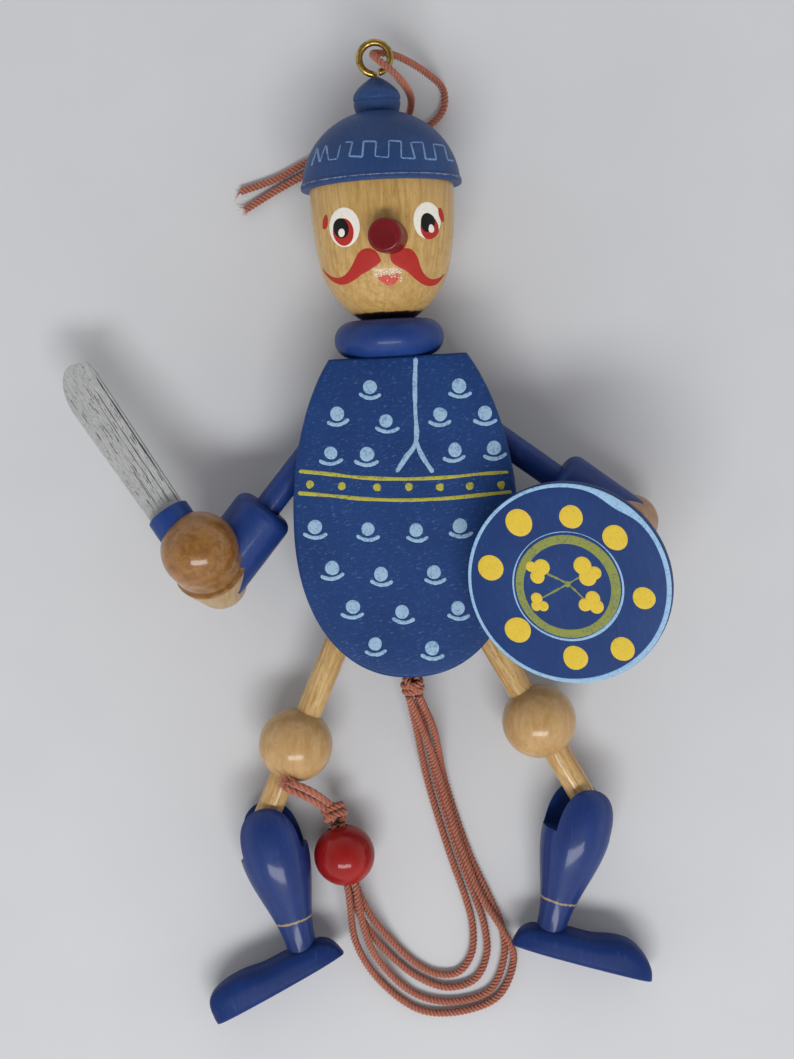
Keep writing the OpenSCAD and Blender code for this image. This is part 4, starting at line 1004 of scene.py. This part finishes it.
# White dots above the lip: a painted highlight, the window's reflection on the head's varnish.
SHEEN_DOTS, SHEEN_Y = 70, 20.9
rng = np.random.default_rng(61)
stipples = zip(rng.uniform(-5.0, 2.0, SHEEN_DOTS), SHEEN_Y + rng.normal(0, 0.75, SHEEN_DOTS),
               rng.uniform(0.1, 0.26, SHEEN_DOTS))
sheen_dabs = [spot(x, y, r, r * 0.8, on_head, 0.1, 0.15, k, count=10) for k, (x, y, r) in enumerate(stipples)]
face_piece("mouth_painted_sheen", sheen_dabs, EYE_WHITE)

NOSE_UP, NOSE_SHIFT, NOSE_LEAN = 20.2, 1.3, -13
NOSE_R, NOSE_OUT, NOSE_IN, NOSE_ROUND = 4.4, 6.0, 4.0, 1.0
NOSE_DISH = [[2.6, 5.93], [1.4, 5.86], [0, 5.84]]
nose_at = (HEAD_X + NOSE_SHIFT, CHIN_Y + NOSE_UP, float(head_radius(NOSE_UP)))
nose_place = LYING @ move(*nose_at) @ turn("y", NOSE_LEAN)
nose_profile = np.concatenate([
    [[0, -NOSE_IN], [NOSE_R, -NOSE_IN]],
    arc(NOSE_R - NOSE_ROUND, NOSE_OUT - NOSE_ROUND, NOSE_ROUND, 0, 90, 10), NOSE_DISH])
dress(turned("nose_peg", nose_profile, nose_place, 96), NOSE_RED, "torso", "red_painted_wood", "nose")

# Hat

HAT_Y, HAT_H, DOME_R, HAT_R, LIP_H, LIP_ROUND = 44.4, 20.2, 20.9, 21.2, 1.8, 0.4
RECESS_R, RECESS = 19.02, 1.4
KNOB_R, KNOB_FOOT_R, KNOB_TOP = 6.2, 5.58, 28.6
LINE_AT, LINE_SPREAD, LINE_STRENGTH = 1.1, 0.3, 0.72
KNOB = np.array([
    (0.1, 0.95), (0.22, 0.985), (0.3, 0.985), (0.335, 0.95), (0.37, 0.99), (0.46, 1), (0.56, 0.95),
    (0.7, 0.79), (0.85, 0.54), (0.95, 0.33), (1, 0.21)
])
lip_angle, foot_angle = math.asin(LIP_H / HAT_H), math.acos(KNOB_FOOT_R / DOME_R)
dome_a = np.linspace(lip_angle, foot_angle, 80)
dome = np.stack([DOME_R * np.cos(dome_a), HAT_H * np.sin(dome_a)], axis=1)
knob_base = HAT_H * math.sin(foot_angle)
knob = spline(np.stack([KNOB_R * KNOB[:, 1], knob_base + (KNOB_TOP - knob_base) * KNOB[:, 0]], axis=1), 70)
hat_profile = np.concatenate([
    [[0, RECESS], [RECESS_R, RECESS], [RECESS_R, 0], [HAT_R - 0.6, 0]],
    arc(HAT_R - LIP_ROUND, LIP_ROUND, LIP_ROUND, -90, 0, 6),
    [[HAT_R, 0.8], [HAT_R, 1.2], [HAT_R - 0.02, 1.4], [HAT_R - 0.15, 1.6]],
    dome, knob, [[0, KNOB_TOP]]])
hat_mask = LINE_STRENGTH * np.exp(-(((hat_profile[:, 1] - LINE_AT) / LINE_SPREAD) ** 2))
hat_mask *= hat_profile[:, 0] > RECESS_R + 0.48
hat = turned("hat_turned", hat_profile, HEAD_AXIS @ move(0, 0, HAT_Y), 200, hat_mask)
dress(hat, HAT_BLUE, "torso", "blue_painted_wood", "hat")


def on_hat(x, y, rise):
    return on_round(DOME_R * np.sqrt(np.clip(1 - ((y - HAT_Y) / HAT_H) ** 2, 0, 1)) + rise, x, y)


MEANDER = [
    [(-19.7, 49.6), (-17.9, 54.6), (-17.4, 50.2), (-15.5, 54.9), (-15, 50.4), (-12.7, 50.4),
     (-11.7, 54.2)],
    [(-10.6, 54.6), (-8.6, 54.4), (-9.7, 50.7), (-6.3, 50.2), (-5.8, 54.3), (-2.6, 54), (-3.1, 50.1),
     (0.3, 49.6), (0.6, 54.1), (3.7, 53.8), (3.5, 49.4), (7, 49.2), (6.1, 53.5), (9.2, 53.7), (9.7, 49.2),
     (12.5, 49.2), (11.9, 53.4), (14.8, 53.4), (15.5, 49.5), (17.3, 49.6)],
]


def meander_line(points):
    """The zigzag with its corners taken a very little off."""
    p = np.asarray(points, float)
    near = [[a + (b - a) * 0.05, a + (b - a) * 0.95] for a, b in zip(p[:-1], p[1:])]
    return evenly(np.concatenate(near), 0.2)[0]


marks = [stroke(meander_line(points), 0.52, on_hat, 0.07, smooth=False, wobble=0.4, seed=70 + k)
         for k, points in enumerate(MEANDER)]
marks_piece("hat_meander", marks, LYING, MEANDER_BLUE, "torso", "blue_painted_wood")

EYE_UP, EYE_R, EYE_GAP, WIRE_R, WIRE_AROUND = 77.95, 4.05, 13, 0.9, 18
eye_c = np.array([HEAD_X, EYE_UP, 0])
eye_a = np.radians(np.linspace(-90 + EYE_GAP, 270, 90))
eye_ring = eye_c + EYE_R * np.stack([np.cos(eye_a), np.sin(eye_a), np.linspace(0.5, 0, 90)], axis=1)
eye_shank = spline([eye_ring[-4], eye_c + (-0.25, -4.3, 0), eye_c + (0, -6, 0), eye_c + (0, -17, 0)], 40)
wire_a = angles(WIRE_AROUND)[None]
wire = tube(np.concatenate([eye_ring[:-3], eye_shank[4:]]), np.full_like(wire_a, WIRE_R), wire_a)
dress(skin("screw_eye_wire", wire, LYING), BRASS, "torso", "brass", "screw_eye")

# Arms

DOWEL_R, DOWEL_EDGE, BORE_R = 3.5, 0.5, 3.52
ARM_BACK = 9.0
SLEEVE_R, SLEEVE_ROUND, SLEEVE_TOP, SLEEVE_MID, SLEEVE_END = 8.3, 3.0, 27.0, 40.0, 49.8
FIST_BALL_R, FIST_BACK_R, FIST_SHANK_R = 10.2, 7.3, 9.5


def dowel_profile(length, r=DOWEL_R, steps=6):
    edge = DOWEL_EDGE
    return np.concatenate([[[0, 0]], arc(r - edge, edge, edge, -90, 0, steps),
                           arc(r - edge, length - edge, edge, 0, 90, steps), [[0, length]]])


def cut_away(obj, cutter):
    """Takes another closed piece out of this one, and removes it."""
    tool = obj.modifiers.new("cut", "BOOLEAN")
    tool.operation, tool.solver, tool.object = "DIFFERENCE", "EXACT", cutter
    bpy.context.view_layer.update()
    cut_mesh = bpy.data.meshes.new_from_object(obj.evaluated_get(bpy.context.evaluated_depsgraph_get()))
    obj.modifiers.clear()
    obj.data = cut_mesh
    bpy.data.objects.remove(cutter)
    obj.data.set_sharp_from_angle(angle=math.radians(BOARD_CREASE))


def fist_profile():
    """A round-ended shank, a ring, a groove and a ball, up the fist's axis; also its parts by finish."""
    r = FIST_SHANK_R
    back = arc(0, -3.5, FIST_BACK_R, -90, -12, 30)
    shank = np.array([[r - 0.06, 3.0], [r, 3.4], [r, 3.8]])
    groove = [[r - 0.3, 5.3], [r - 0.75, 5.5], [r - 0.75, 5.75]]
    ring = np.concatenate([arc(r - 0.2, 4.5, 0.55, -70, 70, 12), groove])
    skirt = np.array([[r - 0.2, 6.05], [r + 0.05, 7.0], [r + 0.2, 8.4]])
    rows = np.concatenate([back, shank, ring, skirt, arc(0, FIST_BALL_UP, FIST_BALL_R, -16, 90, 60)])
    first = len(back) + len(shank)
    last = first + len(ring) - 2
    return rows, {"dome": rows[last + 1:], "ring": rows[first - 1:last + 2], "shank": rows[:first]}


fist_rows, fist_parts = fist_profile()
sleeve_profile = np.concatenate([
    [[BORE_R, SLEEVE_TOP]], arc(SLEEVE_R - SLEEVE_ROUND, SLEEVE_TOP + SLEEVE_ROUND, SLEEVE_ROUND, -90, 0, 16),
    [[SLEEVE_R, SLEEVE_MID], [SLEEVE_R, SLEEVE_END], [BORE_R, SLEEVE_END], [BORE_R, SLEEVE_TOP]]])
for side in (LEFT, RIGHT):
    name, body = SIDE_NAME[side], f"{SIDE_NAME[side]}_arm"
    place = arm_place(side) @ ALONG_LIMB
    arm = turned(f"{name}_arm_dowel", dowel_profile(ARM_BACK + ARM_LEN), place @ move(0, 0, -ARM_BACK), 64)
    dress(arm, TURNED_BLUE, body, "blue_painted_wood", f"{name}_upper_arm")
    sleeve = turned(f"{name}_sleeve_turned", sleeve_profile, place, 96)
    cut_away(sleeve, turned("fist tool", fist_rows, fist_place(side)))
    dress(sleeve, TURNED_BLUE, body, "blue_painted_wood", f"{name}_sleeve")
    shank_finish = SHANK_WOOD if side == LEFT else BROWN_SHANK
    for part, finish in (("dome", FIST_WOOD), ("ring", RING_WOOD), ("shank", shank_finish)):
        fist = turned(f"{name}_fist_{part}", fist_parts[part], fist_place(side))
        dress(fist, finish, body, "bare_wood", *([f"{name}_fist"] if part == "dome" else []))

# Sword

HILT_R, HILT_LEN, HILT_END = 5.8, 8.0, 13.2
BLADE_LEN, BLADE_WIDE, BLADE_ROOT, BLADE_HALF, BLADE_EDGE, TANG = 47.7, 5.6, 4.8, 1.3, 0.3, 5.0
TIP_CLIP, TIP_SHIFT = 12.0, 0.6
BLADE_MIDDLE = (0, 20)
sword = sword_place()
hilt_place = sword @ move(0, HILT_END - HILT_LEN, 0) @ turn("x", -90)
hilt = turned("sword_hilt_turned", dowel_profile(HILT_LEN, HILT_R, 5), hilt_place, 80)
dress(hilt, TURNED_BLUE, "left_arm", "blue_painted_wood", "sword_hilt")


def blade_outline():
    """Two edges that widen to the tip, a short clipped corner on one side and a long round on the other."""
    a = np.radians(np.linspace(72, 180, 40))
    tip_x = TIP_SHIFT + (BLADE_WIDE + TIP_SHIFT) * np.cos(a)
    tip = np.stack([tip_x, BLADE_LEN - TIP_CLIP + TIP_CLIP * np.sin(a)], axis=1)
    edge = np.concatenate([
        [[-BLADE_ROOT, -TANG], [BLADE_ROOT, -TANG], [BLADE_ROOT, 0], [BLADE_WIDE, BLADE_LEN - 5],
         [BLADE_WIDE - 0.5, BLADE_LEN - 1.67]], tip, [[-BLADE_ROOT, 0], [-BLADE_ROOT, -TANG]]])
    return evenly(edge, 0.6)[0][:-1]


blade_place = sword @ move(0, HILT_END, 0)
blade = slab("sword_blade_board", blade_outline(), -BLADE_HALF, BLADE_HALF, BLADE_EDGE, blade_place,
             BLADE_MIDDLE)
dress(blade, BLADE_GREY, "left_arm", "grey_painted_wood", "sword_blade")

on_blade = on_flat(BLADE_HALF)
rng = np.random.default_rng(71)
# Dark cracks along the grain; the first and longest line, by the right edge, is painted shade of the blade's
# side.
cracks = [(4.3, 0.6, 4.9, 41.5, 0.5), (2.4, 1.5, 2.8, 38.0, 0.34), (1.0, 9.0, 1.4, 34.0, 0.26),
          (-1.0, 3.0, -0.8, 16.0, 0.24)]
for _ in range(46):
    x, y, length = rng.uniform(-4.2, 4.4), rng.uniform(1, 38), rng.uniform(1.0, 4.5)
    cracks.append((x, y, x + 0.012 * length, y + length, rng.uniform(0.16, 0.3)))
marks = []
for k, (x1, y1, x2, y2, width) in enumerate(cracks):
    route = [(x1, y1), ((x1 + x2) / 2 + rng.normal(0, 0.05), (y1 + y2) / 2), (x2, y2)]
    marks.append(stroke(route, width, on_blade, 0.03, 24, 3, wobble=0.5, seed=k))
marks_piece("sword_blade_cracks_and_edge_shade", marks, blade_place, CRACK_AND_SHADE_GREY, "left_arm", "grey_painted_wood")

# Shield

SHIELD_R, SHIELD_T, SHIELD_EDGE = 26.45, 2.6, 0.6
SHIELD_UP, SHIELD_ROLL, SHIELD_LEAN = 35.2, 16, 3
HOOP_POINTS, HOOP_ROWS = 240, 9
RIM_INNER, RIM_OUTER, RIM_BROAD, RIM_BROAD_AT, RIM_BROAD_SPAN = 25.2, 26.3, 1.5, 10, 0.22
RING_AT, CROSS_AT = (-0.5, -0.3), (0, 0.2)
shield_place = fist_place(RIGHT) @ move(0, 0, SHIELD_UP) @ turn("y", SHIELD_ROLL) @ turn("x", SHIELD_LEAN)
rim_r = SHIELD_R - SHIELD_EDGE
shield_profile = np.concatenate([
    [[0, -SHIELD_T]], arc(rim_r, SHIELD_EDGE - SHIELD_T, SHIELD_EDGE, -90, 0, 6),
    arc(rim_r, -SHIELD_EDGE, SHIELD_EDGE, 0, 90, 6), [[SHIELD_R * 0.6, 0], [0, 0]]])
shield = turned("shield_disc", shield_profile, shield_place, 220)
dress(shield, SHIELD_BLUE, "right_arm", "blue_painted_wood", "shield")
on_shield = on_flat(0.0)


def hoop(cx, cy, inner, outer, lift, seed, uneven):
    """A painted hoop: rows from a wandering inner radius to an outer one, closed round."""
    rng = np.random.default_rng(seed)
    a = angles(HOOP_POINTS)
    wander = sum(rng.normal() * np.cos(k * a + rng.uniform(0, 6)) / k for k in (1, 2, 3, 5)) * uneven
    v = np.linspace(0, 1, HOOP_ROWS)[:, None]
    r = (inner + wander) * (1 - v) + outer * v
    rise = np.broadcast_to(paint_rise(lift, 2 * v - 1), r.shape)
    return "spot", on_shield(cx + r * np.cos(a), cy + r * np.sin(a), rise)


def shield_piece(name, marks, material):
    marks_piece(name, marks, shield_place, material, "right_arm", "blue_painted_wood")


rim_a = angles(HOOP_POINTS)
off_broad = np.angle(np.exp(1j * (rim_a - np.radians(RIM_BROAD_AT))))
rim_inner = RIM_INNER - RIM_BROAD * np.exp(-((off_broad / RIM_BROAD_SPAN) ** 2)) + 0.3 * np.cos(rim_a - 2.0)
shield_piece("shield_rim_marks", [hoop(0, 0, rim_inner, RIM_OUTER, 0.08, 81, 0.12),
                                  hoop(*RING_AT, 14.0, 14.5, 0.07, 82, 0.16)], RIM_BLUE)
shield_piece("shield_ring_marks", [
    hoop(*RING_AT, 11.2, 13.7, 0.06, 83, 0.16),
    stroke([(-1.6, 5.9), CROSS_AT, (-0.1, -5.7)], 0.55, on_shield, 0.05, wobble=0.5, seed=84),
    stroke([(-7.6, 2.7), CROSS_AT, (4.7, -1.2)], 0.55, on_shield, 0.07, wobble=0.5, seed=85),
    spot(*CROSS_AT, 0.9, 0.8, on_shield, 0.09, 0.1, 86)], OLIVE)
DOTS = [
    (3.8, 19.6, 3.5), (14.2, 10.7, 3.0), (17.7, -0.9, 3.2), (10.7, -16.3, 2.85), (-3.4, -21, 3.1),
    (-13.8, -13.8, 3.2), (-18.6, 1.8, 3.4), (-10.6, 17.5, 3.35)
]
CLUSTERS = [
    (-3, 10, 1.4), (-1.2, 7.9, 2.1), (-3.9, 7.1, 1.85), (6.4, 0.5, 2.3), (7.1, -3.0, 1.7),
    (4.9, -2.5, 2.2), (1.6, -6.9, 1.9), (-1.1, -6.6, 1.7), (0.6, -9, 1.85), (-8.5, 3.6, 1.5),
    (-10.2, 2.4, 1.3), (-8.9, 1, 1.35)
]
shield_piece("shield_yellow_marks", [spot(x, y, 1.08 * r, 1.11 * r, on_shield, 0.1 + 0.004 * k, 0.02, 90 + k)
                                     for k, (x, y, r) in enumerate(DOTS + CLUSTERS)], YELLOW)

# Legs

THIGH_BACK, THIGH_PAST = 12.0, 4.0
BALL_R, BALL_INSIDE = 9.9, 9.2
CALF_R, CALF_BULGE, CALF_POWER, ANKLE_R, CALF_END_R, CALF_END = 9.25, 14.0, 2.6, 4.0, 3.2, 42.3
BAND_AT, BAND_SPREAD, BAND_STRENGTH = 33.2, 0.5, 0.75
SLOT_HALF, SLOT_TURN = {LEFT: 4.8, RIGHT: 5.1}, {LEFT: 0, RIGHT: 15}
SAW_ACROSS, SAW_LOW, SAW_HIGH = 14, -9, 20
SHOE_HEEL, SHOE_TOE, HEEL_H, TOE_H, SHOE_HALF, SHOE_POWER, ANKLE_IN = 9.0, 30.0, 7.6, 9.6, 6.0, 2.8, 6.4
SHOE_ROWS, SHOE_AROUND = 90, 72
HEEL = [(1, 0.1), (0.96, 0.35), (0.87, 0.64), (0.64, 0.88), (0.4, 0.93), (0, 0.97)]
TOE = {
    LEFT: [(0.13, 0.85), (0.4, 0.86), (0.53, 0.97), (0.65, 1), (0.76, 0.99), (0.85, 0.94), (0.92, 0.85),
           (0.97, 0.7), (0.99, 0.52), (1, 0.3)],
    RIGHT: [(0.13, 0.85), (0.4, 0.85), (0.53, 0.97), (0.65, 1), (0.74, 0.96), (0.82, 0.83), (0.9, 0.64),
            (0.96, 0.42), (0.99, 0.24), (1, 0.1)],
}


def calf_radius(u):
    """The calf's wall below its top: a superellipse to the bulge, then half a cosine wave to the ankle."""
    top = CALF_R * (1 - np.clip(1 - u / CALF_BULGE, 0, 1) ** CALF_POWER) ** (1 / CALF_POWER)
    wave = np.cos(np.pi * np.clip((u - CALF_BULGE) / (CALF_LEN - CALF_BULGE), 0, 1) ** 0.95)
    return np.where(u < CALF_BULGE, top, ANKLE_R + (CALF_R - ANKLE_R) * (1 + wave) / 2)


def forked(obj, side):
    """Saws the calf's slot down from its top, the right one turned a little about the calf."""
    cut = np.array([[sx * SAW_ACROSS, y, sz * SLOT_HALF[side]]
                    for sx in (-1, 1) for y in (SAW_LOW, SAW_HIGH) for sz in (-1, 1)], float)
    quads = np.array([[0, 1, 3, 2], [4, 6, 7, 5], [0, 4, 5, 1], [2, 3, 7, 6], [0, 2, 6, 4], [1, 5, 7, 3]])
    cut_away(obj, piece_from("saw", put(cut, calf_place(side) @ turn("y", SLOT_TURN[side])), quads))


def shoe_surface(side):
    """A shoe: flat-soled half-round sections, with heights from its side view and a superellipse plan."""
    heel = [(-SHOE_HEEL * x, HEEL_H * h) for x, h in HEEL]
    toe = [(SHOE_TOE * x, TOE_H * h) for x, h in TOE[side]]
    middle, reach = (SHOE_TOE - SHOE_HEEL) / 2, (SHOE_TOE + SHOE_HEEL) / 2
    x = middle - reach * np.cos(np.linspace(0, math.pi, SHOE_ROWS))
    height = np.interp(x, *np.array(heel + toe).T)
    height[3:-3] = np.convolve(height, np.ones(7) / 7, mode="valid")
    half = SHOE_HALF * np.clip(1 - np.abs((x - middle) / reach) ** SHOE_POWER, 0.02, 1) ** (1 / SHOE_POWER)
    a = angles(SHOE_AROUND)
    c, s = np.cos(a), np.sin(a)
    rise = np.where(c > 0, np.abs(c) ** 0.8, -np.abs(c) ** 0.3)
    y = height[:, None] * (1 + rise) / 2 - ANKLE_IN
    z = half[:, None] * np.sign(s) * np.abs(s) ** 0.6
    points = np.stack([np.repeat(x[:, None], SHOE_AROUND, axis=1), y, z], axis=-1)
    ends = [np.repeat(points[k].mean(axis=0)[None, None], SHOE_AROUND, axis=1) for k in (0, -1)]
    return np.concatenate([ends[0], points, ends[1]])


bore_angle = math.degrees(math.acos(BORE_R / BALL_R))
ball_profile = np.concatenate([
    [[BORE_R, -BALL_INSIDE]], arc(0, 0, BALL_R, -bore_angle, bore_angle, 80), [[BORE_R, BALL_INSIDE]]])
down = np.concatenate([CALF_BULGE * np.linspace(0, 1, 50) ** 2, np.linspace(CALF_BULGE, CALF_LEN, 90)[1:]])
calf_wall = np.stack([calf_radius(down), down], axis=1)
calf_profile = np.concatenate([calf_wall, [[CALF_END_R, CALF_END], [0, CALF_END]]])
calf_mask = np.exp(-(((calf_profile[:, 1] - BAND_AT) / BAND_SPREAD) ** 2)) * BAND_STRENGTH
for side in (LEFT, RIGHT):
    name = SIDE_NAME[side]
    along = thigh_place(side) @ ALONG_LIMB
    thigh_profile = dowel_profile(THIGH_BACK + THIGH_LEN + THIGH_PAST)
    thigh = turned(f"{name}_thigh_dowel", thigh_profile, along @ move(0, 0, -THIGH_BACK), 64)
    dress(thigh, limb_wood(side), f"{name}_thigh_body", "bare_wood", f"{name}_thigh")
    ball = turned(f"{name}_ball_turned", ball_profile, along @ move(0, 0, BALL_AT[side]))
    dress(ball, BALL_WOOD, f"{name}_thigh_body", "bare_wood", f"{name}_knee_ball")
    calf_top = calf_place(side) @ move(0, CALF_PIN, 0) @ ALONG_LIMB
    calf = turned(f"{name}_calf_turned", calf_profile, calf_top, mask=calf_mask)
    forked(calf, side)
    dress(calf, CALF_BLUE, f"{name}_shin", "blue_painted_wood", f"{name}_calf")
    shoe = skin(f"{name}_shoe_carved", shoe_surface(side), shoe_place(side), sharp=SHOE_CREASE)
    dress(shoe, SHOE_BLUE, f"{name}_shin", "blue_painted_wood", f"{name}_shoe")

# Solids shown as they are

SHOWN_SOLIDS = {
    "neck_block": INNER_WOOD, "neck_dowel": INNER_WOOD, "shield_peg": SHANK_WOOD, "shoulder_pins": STEEL,
    "hip_pins": STEEL, "left_knee_pin": STEEL, "right_knee_pin": STEEL,
}
for node, material in SHOWN_SOLIDS.items():
    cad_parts[node].data.materials.clear()
    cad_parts[node].data.materials.append(material)
